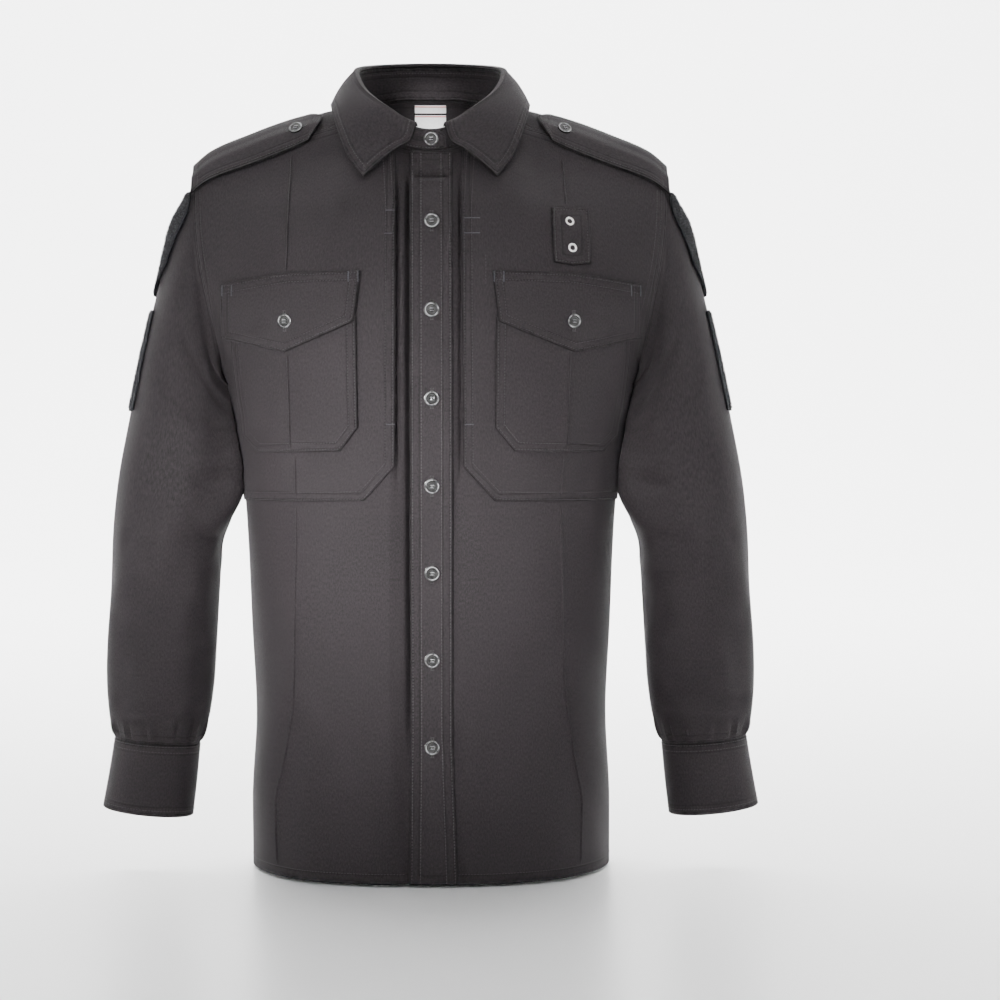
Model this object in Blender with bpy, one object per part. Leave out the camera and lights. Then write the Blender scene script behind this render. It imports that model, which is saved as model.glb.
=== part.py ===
"""Long-sleeved uniform work shirt, filled out as worn, with nobody inside it.

Metres, +Z up. The front faces -Y and the wearer's left is +X. The origin is the centre of the neck's base.
"""

import math
from collections import namedtuple

import bpy
import numpy as np

# Driving dimensions
HEM_Z = -0.751
ARMPIT_Z = -0.265
BACK_SEAM_Z = -0.100
NECK_HALF_WIDTH = 0.078
NECK_FRONT_Z = -0.0450
NECK_SIDE_Z = 0.004
NECK_CURVE = 0.8
NECK_BACK = 0.062
FOLD_HALF_WIDTH = 0.0705
FOLD_FRONT = 0.070
FOLD_BACK = 0.056
LEAF_HALF_WIDTH = 0.0975
LEAF_FRONT = 0.114
LEAF_BACK = 0.077
PLACKET_LEFT_X = -0.0197
PLACKET_RIGHT_X = 0.0206
PLACKET_FLARE_Z = -0.610
BUTTON_X = 0.001
BUTTON_PITCH = 0.0842
FIRST_BUTTON_Z = -0.1140
PLACKET_BUTTONS = 7
SEAM_DROP = 0.021
CHEST_BUTTON_Z = -0.2087
CHEST_BUTTON_X = 0.1375
OVERLAY_LOW_Z = -0.381

# Cloth and the clearances between its layers
CLOTH = 0.0012
DOUBLE_CLOTH = 0.0018
LAYER_GAP = 0.0006
STAND_RISE = 0.0013
STAND_LAP = 0.0014
STAND_END_ROUNDING = 0.006
SEAM_GAP = 0.0006
NUDGE = 1e-4

ROUNDNESS = 2.5
QUARTER = math.pi / 2
FRONT = -1
BACK = 1

Level = namedtuple("Level", "z half_width front back")
TORSO = [
    Level(-0.751, 0.1790, 0.133, 0.112),
    Level(-0.690, 0.179, 0.129, 0.108),
    Level(-0.600, 0.175, 0.122, 0.100),
    Level(-0.510, 0.179, 0.120, 0.096),
    Level(-0.430, 0.182, 0.122, 0.098),
    Level(-0.350, 0.188, 0.127, 0.104),
    Level(-0.265, 0.205, 0.131, 0.112),
    Level(-0.220, 0.228, 0.129, 0.115),
    Level(-0.160, 0.258, 0.120, 0.114),
    Level(-0.100, 0.270, 0.103, 0.108),
    Level(-0.045, 0.275, 0.0752, 0.101),
    Level(0.030, 0.275, 0.0735, 0.099),
]

Ridge = namedtuple("Ridge", "x z roll")
SHOULDER = [
    Ridge(0.000, 0.030, 0.080),
    Ridge(0.020, 0.0288, 0.081),
    Ridge(0.050, 0.019, 0.085),
    Ridge(0.078, 0.004, 0.095),
    Ridge(0.105, -0.003, 0.135),
    Ridge(0.140, -0.013, 0.175),
    Ridge(0.180, -0.028, 0.195),
    Ridge(0.215, -0.043, 0.200),
    Ridge(0.238, -0.062, 0.200),
]

ArmholeLevel = namedtuple("ArmholeLevel", "z x")
ARMHOLE = [
    ArmholeLevel(-0.265, 0.2050),
    ArmholeLevel(-0.230, 0.2090),
    ArmholeLevel(-0.190, 0.2165),
    ArmholeLevel(-0.150, 0.2255),
    ArmholeLevel(-0.113, 0.2305),
    ArmholeLevel(-0.060, 0.2335),
]

Fold = namedtuple("Fold", "y z")
COLLAR_FOLD = [
    Fold(-0.0700, -0.0190),
    Fold(-0.0590, -0.0020),
    Fold(-0.0380, 0.0152),
    Fold(0.0000, 0.0385),
    Fold(0.0560, 0.0500),
]
FOLD_RISE = 0.0048

# Each sleeve section runs from its outer to its inner point, as deep as its front and back
Section = namedtuple("Section", "outer_x outer_z inner_x inner_z centre_y front back")
SLEEVE = [
    Section(0.2400, -0.0850, 0.2110, -0.2850, 0.000, 0.060, 0.060),
    Section(0.2560, -0.1170, 0.2035, -0.3080, 0.002, 0.062, 0.063),
    Section(0.2695, -0.1720, 0.1975, -0.3300, 0.002, 0.063, 0.064),
    Section(0.2840, -0.2330, 0.1935, -0.3540, 0.000, 0.062, 0.062),
    Section(0.2975, -0.2960, 0.1920, -0.3780, -0.003, 0.060, 0.060),
    Section(0.3080, -0.3540, 0.1970, -0.4020, -0.006, 0.058, 0.058),
    Section(0.3150, -0.4150, 0.2080, -0.4300, -0.010, 0.056, 0.056),
    Section(0.3190, -0.4700, 0.2110, -0.4700, -0.015, 0.054, 0.054),
    Section(0.3212, -0.5250, 0.2140, -0.5200, -0.021, 0.051, 0.052),
    Section(0.3214, -0.5740, 0.2160, -0.5700, -0.027, 0.048, 0.049),
    Section(0.3180, -0.6020, 0.2210, -0.6020, -0.031, 0.044, 0.045),
    Section(0.3130, -0.6200, 0.2295, -0.6265, -0.033, 0.037, 0.038),
]
CUFF = [
    Section(0.3136, -0.6206, 0.2289, -0.6271, -0.0332, 0.0376, 0.0386),
    Section(0.3190, -0.6540, 0.2320, -0.6620, -0.0360, 0.0390, 0.0400),
    Section(0.3250, -0.6870, 0.2360, -0.6965, -0.0390, 0.0395, 0.0405),
]

# The fold of a back pleat, where the middle of the back stands over its side
PleatRow = namedtuple("PleatRow", "z edge_x")
BACK_PLEAT = [
    PleatRow(-0.751, 0.1480),
    PleatRow(-0.480, 0.1490),
    PleatRow(-0.400, 0.1530),
    PleatRow(-0.300, 0.1620),
    PleatRow(-0.200, 0.1760),
    PleatRow(-0.100, 0.1880),
]
PLEAT_STEP = 0.0020
PLEAT_STEP_WIDTH = 0.0018


def column(table, name):
    return np.array([getattr(row, name) for row in table])


def smooth(table, name, at, key="z"):
    """The named column as a smooth curve through the table's rows, with no overshoot between them."""
    known, value = column(table, key), column(table, name)
    if known[0] > known[-1]:
        known, value = known[::-1], value[::-1]
    at = np.clip(np.asarray(at, float), known[0], known[-1])
    gap = np.diff(known)
    rise = np.diff(value) / gap
    inner = np.where(rise[:-1] * rise[1:] > 0, 2 * rise[:-1] * rise[1:] / (rise[:-1] + rise[1:] + 1e-12), 0)
    slope = np.concatenate([rise[:1], inner, rise[-1:]])
    i = np.clip(np.searchsorted(known, at, side="right") - 1, 0, len(gap) - 1)
    t = (at - known[i]) / gap[i]
    return (
        value[i] * (1 + 2 * t) * (1 - t) ** 2
        + slope[i] * gap[i] * t * (1 - t) ** 2
        + value[i + 1] * t * t * (3 - 2 * t)
        - slope[i + 1] * gap[i] * t * t * (1 - t)
    )


def ridge_z(x):
    return smooth(SHOULDER, "z", abs(x), key="x")


def half_width(z):
    return smooth(TORSO, "half_width", z)


def armhole_x(z):
    return smooth(ARMHOLE, "x", z)


def squared_depth(side, x, z):
    """The torso surface's y squared, which stays smooth over the shoulder and round the side."""
    depth = np.where(np.asarray(side) < 0, smooth(TORSO, "front", z), smooth(TORSO, "back", z))
    drop = np.clip((ridge_z(x) - z) / smooth(SHOULDER, "roll", abs(x), key="x"), -0.2, 1)
    return depth**2 * (1 - (abs(x) / half_width(z)) ** ROUNDNESS) * drop * (2 - drop)


def torso(side, x, z):
    """Points of the torso surface over x and z, and the outward normals there."""
    x, z = np.broadcast_arrays(np.asarray(x, float), np.asarray(z, float))
    y = side * np.sqrt(np.maximum(squared_depth(side, x, z), 0))
    slope_x = squared_depth(side, x + NUDGE, z) - squared_depth(side, x - NUDGE, z)
    slope_z = squared_depth(side, x, z + NUDGE) - squared_depth(side, x, z - NUDGE)
    normal = np.stack([-slope_x, 4 * NUDGE * y, -slope_z], axis=-1)
    return np.stack([x, y, z], axis=-1), normal / np.linalg.norm(normal, axis=-1, keepdims=True)


def side_angle(x, z):
    """The angle round the torso of a point, 0 at its middle and a quarter turn at its side."""
    return np.sign(x) * np.arcsin(np.clip(abs(x) / half_width(z), 0, 1) ** (ROUNDNESS / 2))


def at_angle(angle, z):
    return half_width(z) * np.sign(angle) * np.sin(abs(angle)) ** (2 / ROUNDNESS)


def torso_height(x, y):
    """The height at which the torso surface passes over a point seen from above."""
    side = BACK if y > 0 else FRONT
    high = float(ridge_z(x))
    low = high - 0.16
    for _ in range(40):
        middle = (low + high) / 2
        if float(squared_depth(side, x, middle)) > y * y:
            low = middle
        else:
            high = middle
    return middle


def ring_point(angle, half, front, back):
    """A point seen from above on an oval, by its angle from the centre front."""
    x, y = half * math.sin(angle), -math.cos(angle)
    return x, y * (front if y < 0 else back)


def path(points, counts):
    """A path through corner points, with so many steps on each stretch."""
    rows = [np.linspace(a, b, n, endpoint=False) for a, b, n in zip(points, points[1:], counts)]
    return np.array([*np.concatenate(rows), points[-1]], float)


def patch(bottom, top, left, right):
    """A grid of (x, z) whose borders are four given paths, blended by their angle round the torso."""
    borders = [np.stack([side_angle(p[:, 0], p[:, 1]), p[:, 1]], axis=1) for p in (bottom, top, left, right)]
    bottom, top, left, right = borders
    u = np.linspace(0, 1, len(bottom))[None, :, None]
    v = np.linspace(0, 1, len(left))[:, None, None]
    grid = (1 - v) * bottom + v * top + (1 - u) * left[:, None] + u * right[:, None]
    grid -= (1 - u) * (1 - v) * bottom[0] + u * (1 - v) * bottom[-1] + (1 - u) * v * top[0] + u * v * top[-1]
    return at_angle(grid[..., 0], grid[..., 1]), grid[..., 1]


def material(name, colour, roughness, metallic=0.0):
    made = bpy.data.materials.new(name)
    made.use_nodes = True
    shader = made.node_tree.nodes["Principled BSDF"]
    shader.inputs["Base Color"].default_value = (*colour, 1)
    shader.inputs["Roughness"].default_value = roughness
    shader.inputs["Metallic"].default_value = metallic
    return made


def add_mesh(name, points, faces, finish):
    mesh = bpy.data.meshes.new(name)
    mesh.from_pydata([tuple(p) for p in points], [], faces)
    mesh.materials.append(material(name, *finish))
    mesh.shade_smooth()
    mesh.set_sharp_from_angle(angle=math.radians(40))
    piece = bpy.data.objects.new(name, mesh)
    bpy.context.scene.collection.objects.link(piece)
    return piece


TWILL = ((0.040, 0.034, 0.036), 0.75)
LOOP_TAPE = ((0.012, 0.012, 0.013), 0.95)
LABEL = ((0.72, 0.70, 0.69), 0.7)
RESIN = ((0.010, 0.010, 0.011), 0.18)
NICKEL = ((0.62, 0.61, 0.60), 0.28, 1.0)


def cloth(name, outer, inner, finish=TWILL, round_tube=False):
    """A closed wall between two grids of points, open at its ends where it goes round a tube."""
    rows, columns = outer.shape[:2]
    count = rows * columns

    def corner(row, col, layer):
        return layer * count + row * columns + col % columns

    faces = []
    for row in range(rows - 1):
        for col in range(columns if round_tube else columns - 1):
            loop = [(row, col), (row, col + 1), (row + 1, col + 1), (row + 1, col)]
            faces.append([corner(*c, 0) for c in loop])
            faces.append([corner(*c, 1) for c in reversed(loop)])
    around = columns if round_tube else columns - 1
    rim = [((0, c + 1), (0, c)) for c in range(around)]
    rim += [((rows - 1, c), (rows - 1, c + 1)) for c in range(around)]
    if not round_tube:
        rim += [((r, 0), (r + 1, 0)) for r in range(rows - 1)]
        rim += [((r + 1, columns - 1), (r, columns - 1)) for r in range(rows - 1)]
    faces += [[corner(*a, 0), corner(*b, 0), corner(*b, 1), corner(*a, 1)] for a, b in rim]
    points = np.concatenate([outer.reshape(-1, 3), inner.reshape(-1, 3)])
    a, b, c = (points[faces[0][i]] for i in range(3))
    outward = np.dot(np.cross(b - a, c - a), outer[0, 0] - inner[0, 0]) > 0
    return add_mesh(name, points, faces if outward else [f[::-1] for f in faces], finish)


def on_torso(name, grid, lift, wall=CLOTH, side=FRONT, finish=TWILL):
    """A sheet over a grid of (x, z), its inner face lifted off the torso surface."""
    points, normals = torso(side, *grid)
    lift = np.broadcast_to(lift, grid[0].shape)[..., None]
    return cloth(name, points + normals * (lift + wall), points + normals * lift, finish)


def grid_normals(grid, round_tube=False):
    """Outward normals of a grid, from the directions of its rows and columns."""
    if round_tube:
        across = np.roll(grid, -1, axis=1) - np.roll(grid, 1, axis=1)
    else:
        across = np.gradient(grid, axis=1)
    normal = np.cross(across, np.gradient(grid, axis=0))
    return normal / np.linalg.norm(normal, axis=-1, keepdims=True)


# The layers over the front, each as the lift of its inner face
PANEL_LIFT = -CLOTH
OVERLAY_LIFT = LAYER_GAP
POCKET_LIFT = OVERLAY_LIFT + CLOTH + 0.0016
TAB_LIFT = OVERLAY_LIFT + CLOTH + 0.0007
FLAP_LIFT = POCKET_LIFT + CLOTH + 0.0009
STRAP_LIFT = LAYER_GAP + 0.0004
STRAP_FRONT_LIFT = OVERLAY_LIFT + CLOTH + 0.0013
PLACKET_LIFT = LAYER_GAP
UNDER_STEP = CLOTH + LAYER_GAP + 0.0010
COVERED_STEP = 0.0015


def neckline(angle):
    """A point (x, z) of the neck's edge, by its angle from the centre front."""
    if math.cos(angle) > 0:
        share = 1 - math.cos(angle) ** (2 * NECK_CURVE)
        return NECK_HALF_WIDTH * math.sin(angle), NECK_FRONT_Z + (NECK_SIDE_Z - NECK_FRONT_Z) * share
    x, y = ring_point(angle, NECK_HALF_WIDTH, 0, NECK_BACK)
    return x, torso_height(x, y)


def front_seam_z(x):
    return ridge_z(x) - SEAM_DROP


def neck_corner():
    """The neckline's angle where it meets the shoulder's front seam."""
    low, high = math.radians(30), QUARTER
    for _ in range(30):
        middle = (low + high) / 2
        x, z = neckline(middle)
        if z > front_seam_z(x):
            high = middle
        else:
            low = middle
    return middle


def armhole_height(drop):
    """The armhole's height where it lies so far below the shoulder's ridge."""
    z = -0.08
    for _ in range(20):
        z = float(ridge_z(armhole_x(z))) - drop
    return z


NECK_CORNER = neck_corner()
ARMHOLE_TOP = armhole_height(SEAM_DROP)
ARMHOLE_PEAK = armhole_height(0)
CHEST_DEPTH = 0.12


def side_path(low_z, low_rows, armhole_rows, top_z, gap=SEAM_GAP / 2):
    """The side seam and then the armhole, upwards from a height, as (x, z), clear of the seam by a gap."""
    seam_z = np.linspace(low_z, ARMPIT_Z, low_rows, endpoint=False)
    arm_z = ARMPIT_Z + (top_z - ARMPIT_Z) * np.linspace(0, 1, armhole_rows + 1) ** 1.5
    seam_angle = QUARTER - gap / CHEST_DEPTH
    seam_x = at_angle(seam_angle, seam_z)
    arm_x = np.minimum(armhole_x(arm_z) - gap, at_angle(seam_angle, arm_z))
    return np.stack([np.concatenate([seam_x, arm_x]), np.concatenate([seam_z, arm_z])], axis=1)


def across(start, end, columns):
    """A level path between two points, with even steps of angle round the torso."""
    angle = np.linspace(side_angle(start[0], start[1]), side_angle(end[0], end[1]), columns + 1)
    z = np.linspace(start[1], end[1], columns + 1)
    return np.stack([at_angle(angle, z), z], axis=1)


def shoulder_seam(columns):
    """The front shoulder seam from the neckline to the armhole, as (x, z)."""
    x = np.linspace(neckline(NECK_CORNER)[0], armhole_x(ARMHOLE_TOP), columns + 1)
    return np.stack([x, front_seam_z(x)], axis=1)


def neck_path(start_x, count):
    """The front neckline from near the centre front to the shoulder seam, as (x, z)."""
    angles = np.linspace(math.asin(start_x / NECK_HALF_WIDTH), NECK_CORNER, count + 1)
    return np.array([neckline(a) for a in angles])


def mirror_grid(grid, sign):
    return (grid[0] * sign, grid[1])


def front_panel(name, sign, edge_x, under):
    """One front, from its edge under or over the placket to the side seam, open at neck and armhole."""
    columns = 11
    high = neck_path(0.004, 6)
    high[0, 0] = edge_x
    left = np.concatenate([path([(edge_x, HEM_Z), (edge_x, ARMPIT_Z)], [10])[:-1],
                           path([(edge_x, ARMPIT_Z), (edge_x, -0.10), tuple(high[0])], [6, 4])[:-1],
                           high])
    right = side_path(HEM_Z, 10, 16, ARMHOLE_TOP)
    seam = shoulder_seam(columns)
    seam[:, 1] -= 0.0018
    right[-1] = seam[-1] = (seam[-1, 0] - SEAM_GAP / 2, seam[-1, 1])
    left[-1] = seam[0]
    grid = patch(across(left[0], right[0], columns), seam, left, right)
    x, z = grid
    covered = np.clip((x - 0.040) / 0.015, 0, 1) * np.clip((z - OVERLAY_LOW_Z) / 0.02, 0, 1)
    lift = PANEL_LIFT - COVERED_STEP * covered
    if under:
        lift -= UNDER_STEP * np.clip((0.040 - x) / 0.014, 0, 1) * (x < 0.040)
    return on_torso(name, mirror_grid(grid, sign), lift)


def chest_overlay(name, sign, edge_x, chamfer_x):
    """The second layer over the chest, from the shoulder to a chamfered lower edge."""
    columns, edge_top = 10, neck_path(edge_x, 4)
    corner = (edge_x + 0.001, OVERLAY_LOW_Z + 0.033)
    left = np.concatenate([path([(chamfer_x, OVERLAY_LOW_Z), corner], [2])[:-1],
                           path([corner, (edge_x, -0.10), tuple(edge_top[0])], [8, 4])[:-1],
                           edge_top])
    right = side_path(OVERLAY_LOW_Z - 0.005, 6, 12, ARMHOLE_TOP, gap=0.0015)
    seam = shoulder_seam(columns)
    seam[:, 1] -= 0.0015
    seam[-1] = right[-1] = (seam[-1, 0] - 0.001, seam[-1, 1])
    left[-1] = seam[0]
    grid = patch(across(left[0], right[0], columns), seam, left, right)
    return on_torso(name, mirror_grid(grid, sign), OVERLAY_LIFT)


def back_panel():
    """The back from side seam to side seam, with a pleat's fold before each armhole."""
    rows_right = side_path(HEM_Z, 10, 7, BACK_SEAM_Z)
    columns, rest_columns = 8, 6
    xs, zs, lifts = [], [], []
    for side_x, z in rows_right:
        z = min(z, BACK_SEAM_Z - SEAM_GAP / 2)
        edge = float(smooth(BACK_PLEAT, "edge_x", z))
        under = edge + PLEAT_STEP_WIDTH
        rest = np.linspace(float(side_angle(under, z)), float(side_angle(side_x, z)), rest_columns + 1)
        half_x = [*np.linspace(0, edge, columns + 1), *at_angle(rest, z)]
        half_lift = [0] * (columns + 1) + [*np.linspace(-PLEAT_STEP, 0, rest_columns + 1)]
        xs.append([-v for v in half_x[:0:-1]] + half_x)
        lifts.append(half_lift[:0:-1] + half_lift)
        zs.append([z] * len(xs[-1]))
    grid = np.array(xs), np.array(zs)
    return on_torso("back", grid, PANEL_LIFT + np.array(lifts), side=BACK)


def yoke():
    """The yoke over both shoulders, from the front seams round the neck to the back seam."""
    arm, back, depth = 8, 6, 5
    half = []
    for i in range(arm + back + 1):
        if i <= arm:
            outer_share = i / arm
            front_turn = roll_angle(armhole_x(ARMHOLE_TOP), ARMHOLE_TOP)
            back_turn = roll_angle(armhole_x(BACK_SEAM_Z), BACK_SEAM_Z)
            turn = -front_turn + (front_turn + back_turn) * outer_share
            x = 0.236
            for _ in range(12):
                x = float(armhole_x(rolled(x, turn)[1])) - SEAM_GAP / 2
            outer = (x, turn)
        else:
            x = (float(armhole_x(BACK_SEAM_Z)) - SEAM_GAP / 2) * (1 - (i - arm) / back)
            outer = (x, roll_angle(x, BACK_SEAM_Z + SEAM_GAP / 2))
        angle = NECK_CORNER + (math.pi - NECK_CORNER) * i / (arm + back)
        x, z = neckline(angle)
        side = -1 if angle < QUARTER else 1
        inner = (x, side * roll_angle(x, z))
        half.append([(inner[0] + (outer[0] - inner[0]) * s, inner[1] + (outer[1] - inner[1]) * s)
                     for s in np.linspace(0, 1, depth + 1)])
    seam = shoulder_seam(depth)
    for k in range(depth + 1):
        x = float(seam[k, 0]) - (SEAM_GAP / 2 if k == depth else 0)
        half[0][k] = (x, -roll_angle(x, float(seam[k, 1]) + SEAM_GAP / 2))
    half = np.array(half)
    other = half[::-1][1:].copy()
    other[..., 0] *= -1
    strip = np.concatenate([half, other])
    x, turn = strip[..., 0], strip[..., 1]
    z = rolled(x, turn)[1]
    points, normals = torso(np.where(turn < 0, FRONT, BACK), x, z)
    return cloth("yoke", points, points - normals * CLOTH)


def roll_angle(x, z):
    """How far over the shoulder a point lies: 0 on the ridge, a quarter turn where the roll ends."""
    drop = (ridge_z(x) - z) / smooth(SHOULDER, "roll", abs(x), key="x")
    return float(np.where(drop < 1, np.arccos(np.clip(1 - drop, -1, 1)), QUARTER + drop - 1))


def rolled(x, turn):
    """The (x, z) of a point by how far over the shoulder it lies."""
    turn = abs(np.asarray(turn, float))
    drop = np.where(turn < QUARTER, 1 - np.cos(turn), 1 + turn - QUARTER)
    return x, ridge_z(x) - drop * smooth(SHOULDER, "roll", abs(x), key="x")


def fold_height(y):
    """The height of the collar's fold, falling from the back of the neck to the front."""
    return smooth(COLLAR_FOLD, "z", y, key="y")


def collar_stand():
    """The band round the neck, its wearer's left end lapped over the right one at the front."""
    stations, rows = 32, 3
    lap = math.asin(0.016 / NECK_HALF_WIDTH)
    outer, inner = [], []
    for angle in np.linspace(-lap, 2 * math.pi + lap, stations + 1):
        over = STAND_LAP * np.interp(angle, [-lap, 0.5, 2 * math.pi - 0.5, 2 * math.pi + lap], [-1, 0, 0, 1])
        low_x, low_z = neckline(angle)
        low = torso(FRONT if math.cos(angle) > 0 else BACK, low_x, low_z)[0][:2]
        low_z += STAND_RISE
        high = np.array(ring_point(angle, FOLD_HALF_WIDTH, FOLD_FRONT, FOLD_BACK))
        high_z = float(fold_height(high[1])) - FOLD_RISE
        wall = []
        for s in np.linspace(0, 1, rows):
            flat = low + (high - low) * s
            way = flat / np.linalg.norm(flat)
            rounding = STAND_END_ROUNDING if abs(angle - math.pi) > math.pi + lap * 0.55 else 0
            z = low_z + (high_z - low_z - rounding) * s
            middle = flat + way * over
            wall.append([(*(middle + way * DOUBLE_CLOTH / 2), z), (*(middle - way * DOUBLE_CLOTH / 2), z)])
        outer.append([w[0] for w in wall])
        inner.append([w[1] for w in wall])
    return cloth("collar_stand", np.array(outer), np.array(inner))


LEAF_SHARES = [0, 0.10, 0.32, 0.55, 0.78, 1]
LEAF_BOW = 0.0035
LEAF_DIP = 0.012
LEAF_DIP_SPREAD = 0.08


def collar_leaf():
    """The turned-down collar: up from the band, over its fold and out over the shoulders."""
    stations = 26
    fold_start, edge_start = math.radians(10.5), math.radians(41)
    grid = []
    for s in np.linspace(0, 1, stations + 1):
        fold_angle = fold_start + (2 * math.pi - 2 * fold_start) * s
        edge_angle = edge_start + (2 * math.pi - 2 * edge_start) * s
        high = np.array(ring_point(fold_angle, FOLD_HALF_WIDTH, FOLD_FRONT, FOLD_BACK))
        way = high / np.linalg.norm(high)
        z = float(fold_height(high[1])) - FOLD_RISE
        x, y = ring_point(edge_angle, LEAF_HALF_WIDTH, LEAF_FRONT, LEAF_BACK)
        edge_z = torso_height(x, min(max(y, -0.088), LEAF_BACK))
        edge = np.array([x, y, edge_z])
        normal = torso(BACK if y > 0 else FRONT, x, edge_z)[1]
        edge = torso(BACK if y > 0 else FRONT, x, edge_z)[0] + normal * 0.0062
        rise = [(-0.0004, 0.0012), (-0.0001, 0.0037), (0.0022, FOLD_RISE), (0.0050, 0.0052)]
        line = [np.array([*(high + way * out), z + up]) for out, up in rise]
        start = np.array([*(high + way * 0.0068), z + 0.0025])
        for t in LEAF_SHARES:
            bow = LEAF_BOW * 4 * t * (1 - t)
            dip = LEAF_DIP * (1 - t) * max(0.0, 1 - min(s, 1 - s) / LEAF_DIP_SPREAD) if t > 0 else 0
            line.append(start + (edge - start) * t + np.array([*way, 0.8]) * bow - np.array([0, 0, dip]))
        grid.append(line)
    grid = np.array(grid)
    normals = grid_normals(grid)
    if np.dot(normals[0, -3], (0, -1, 0)) < 0:
        normals = -normals
    return cloth("collar_leaf", grid, grid - normals * 0.0016)


def placket():
    """The front band with the buttonholes, its left edge free."""
    heights = [HEM_Z, PLACKET_FLARE_Z, ARMPIT_Z, NECK_FRONT_Z - SEAM_GAP]
    counts = [4, 9, 14]
    flare = [1, 0, 0, 0]
    rows = path([(PLACKET_LEFT_X - 0.0015 * f, z) for f, z in zip(flare, heights)], counts)
    right = path([(PLACKET_RIGHT_X + 0.0045 * f, z) for f, z in zip(flare, heights)], counts)
    grid = patch(path([rows[0], right[0]], [3]), path([rows[-1], right[-1]], [3]), rows, right)
    return on_torso("placket", grid, PLACKET_LIFT, DOUBLE_CLOTH)


Corner = namedtuple("Corner", "x z")
POCKET_LOW = [Corner(0.0864, -0.3330), Corner(0.1670, -0.3360)]
POCKET_CHAMFER = [Corner(0.0696, -0.3104), Corner(0.1815, -0.3200)]
POCKET_TOP = [Corner(0.0710, -0.2020), Corner(0.1940, -0.2140)]
FLAP_TOP = [Corner(0.0672, -0.1620), Corner(0.1350, -0.1640), Corner(0.1990, -0.1740)]
FLAP_LOW = [Corner(0.0729, -0.2096), Corner(0.1385, -0.2378), Corner(0.1985, -0.2246)]


def placed(corners, spread, shift):
    """Corners of a pocket, spread about its button's line and moved with it."""
    return [Corner(CHEST_BUTTON_X + (c.x - CHEST_BUTTON_X) * spread + shift, c.z) for c in corners]


def pocket(name, sign, spread, shift):
    """A patch pocket with cut-off lower corners."""
    low, chamfer, top = (placed(row, spread, shift) for row in (POCKET_LOW, POCKET_CHAMFER, POCKET_TOP))
    left = path([low[0], chamfer[0], top[0]], [1, 7])
    right = path([low[1], chamfer[1], top[1]], [1, 7])
    grid = patch(path(low, [9]), path(top, [9]), left, right)
    return on_torso(name, mirror_grid(grid, sign), POCKET_LIFT)


def flap(name, sign, spread, shift):
    """A pocket flap with a pointed lower edge."""
    low, top = placed(FLAP_LOW, spread, shift), placed(FLAP_TOP, spread, shift)
    left = path([low[0], top[0]], [4])
    right = path([low[2], top[2]], [4])
    grid = patch(path(low, [4, 4]), path(top, [4, 4]), left, right)
    return on_torso(name, mirror_grid(grid, sign), FLAP_LIFT, DOUBLE_CLOTH)


def badge_tab():
    """The small tab for a badge, with a shallow pointed lower edge."""
    low = path([(0.1175, -0.1530), (0.1355, -0.1560), (0.1530, -0.1540)], [2, 2])
    top = path([(0.1156, -0.1015), (0.1330, -0.1015), (0.1515, -0.1015)], [2, 2])
    grid = patch(low, top, path([low[0], top[0]], [4]), path([low[-1], top[-1]], [4]))
    return on_torso("badge_tab", grid, TAB_LIFT, DOUBLE_CLOTH)


StrapRow = namedtuple("StrapRow", "x rear front")
STRAP = [
    StrapRow(0.2330, 0.04, -0.54),
    StrapRow(0.2100, 0.02, -0.56),
    StrapRow(0.1900, 0.00, -0.575),
    StrapRow(0.1700, -0.02, -0.59),
    StrapRow(0.1520, -0.045, -0.605),
    StrapRow(0.1350, -0.07, -0.615),
    StrapRow(0.1180, -0.10, -0.625),
    StrapRow(0.1065, -0.28, -0.45),
]


def epaulette_lift(drop):
    """The strap lies on the yoke, and in front of its seam on the chest's two layers."""
    return np.interp(drop, [0.007, 0.0135], [STRAP_LIFT, STRAP_FRONT_LIFT])


def epaulette(name, sign):
    """A shoulder strap with a cut point, from the armhole towards the collar along the shoulder's front."""
    columns = 5
    x = np.array([[row.x] * (columns + 1) for row in STRAP])
    turn = np.array([np.linspace(row.rear, row.front, columns + 1) for row in STRAP])
    z = rolled(x, turn)[1]
    points, normals = torso(np.where(turn < 0, FRONT, BACK), x, z)
    lift = epaulette_lift(ridge_z(x) - z)[..., None]
    outer, inner = points + normals * (lift + DOUBLE_CLOTH), points + normals * lift
    flip = np.array([sign, 1, 1])
    return cloth(name, outer * flip, inner * flip)


def section_ring(section, columns):
    """One closed ring of points round a sleeve or cuff, from its outer point round by the front."""
    turn = np.linspace(0, 2 * math.pi, columns, endpoint=False)
    outer = np.array([section.outer_x, 0, section.outer_z])
    inner = np.array([section.inner_x, 0, section.inner_z])
    depth = np.where(np.sin(turn) > 0, section.front, section.back)
    ring = (outer + inner) / 2 + np.cos(turn)[:, None] * (outer - inner) / 2
    ring[:, 1] = section.centre_y - np.sin(turn) * depth
    return ring


def armhole_ring(columns):
    """The armhole's edge as a ring like a sleeve's, and the torso's normals along it."""
    turn = np.linspace(0, 2 * math.pi, columns, endpoint=False)
    top = ARMHOLE_PEAK - 0.0002
    z = top + (ARMPIT_Z + 0.0003 - top) * (1 - np.cos(turn)) / 2
    side = np.where(np.sin(turn) > 0, FRONT, BACK)
    points, normals = torso(side, armhole_x(z), z)
    points[:, 0] += SEAM_GAP + CLOTH * normals[:, 0]
    return points, normals


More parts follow.
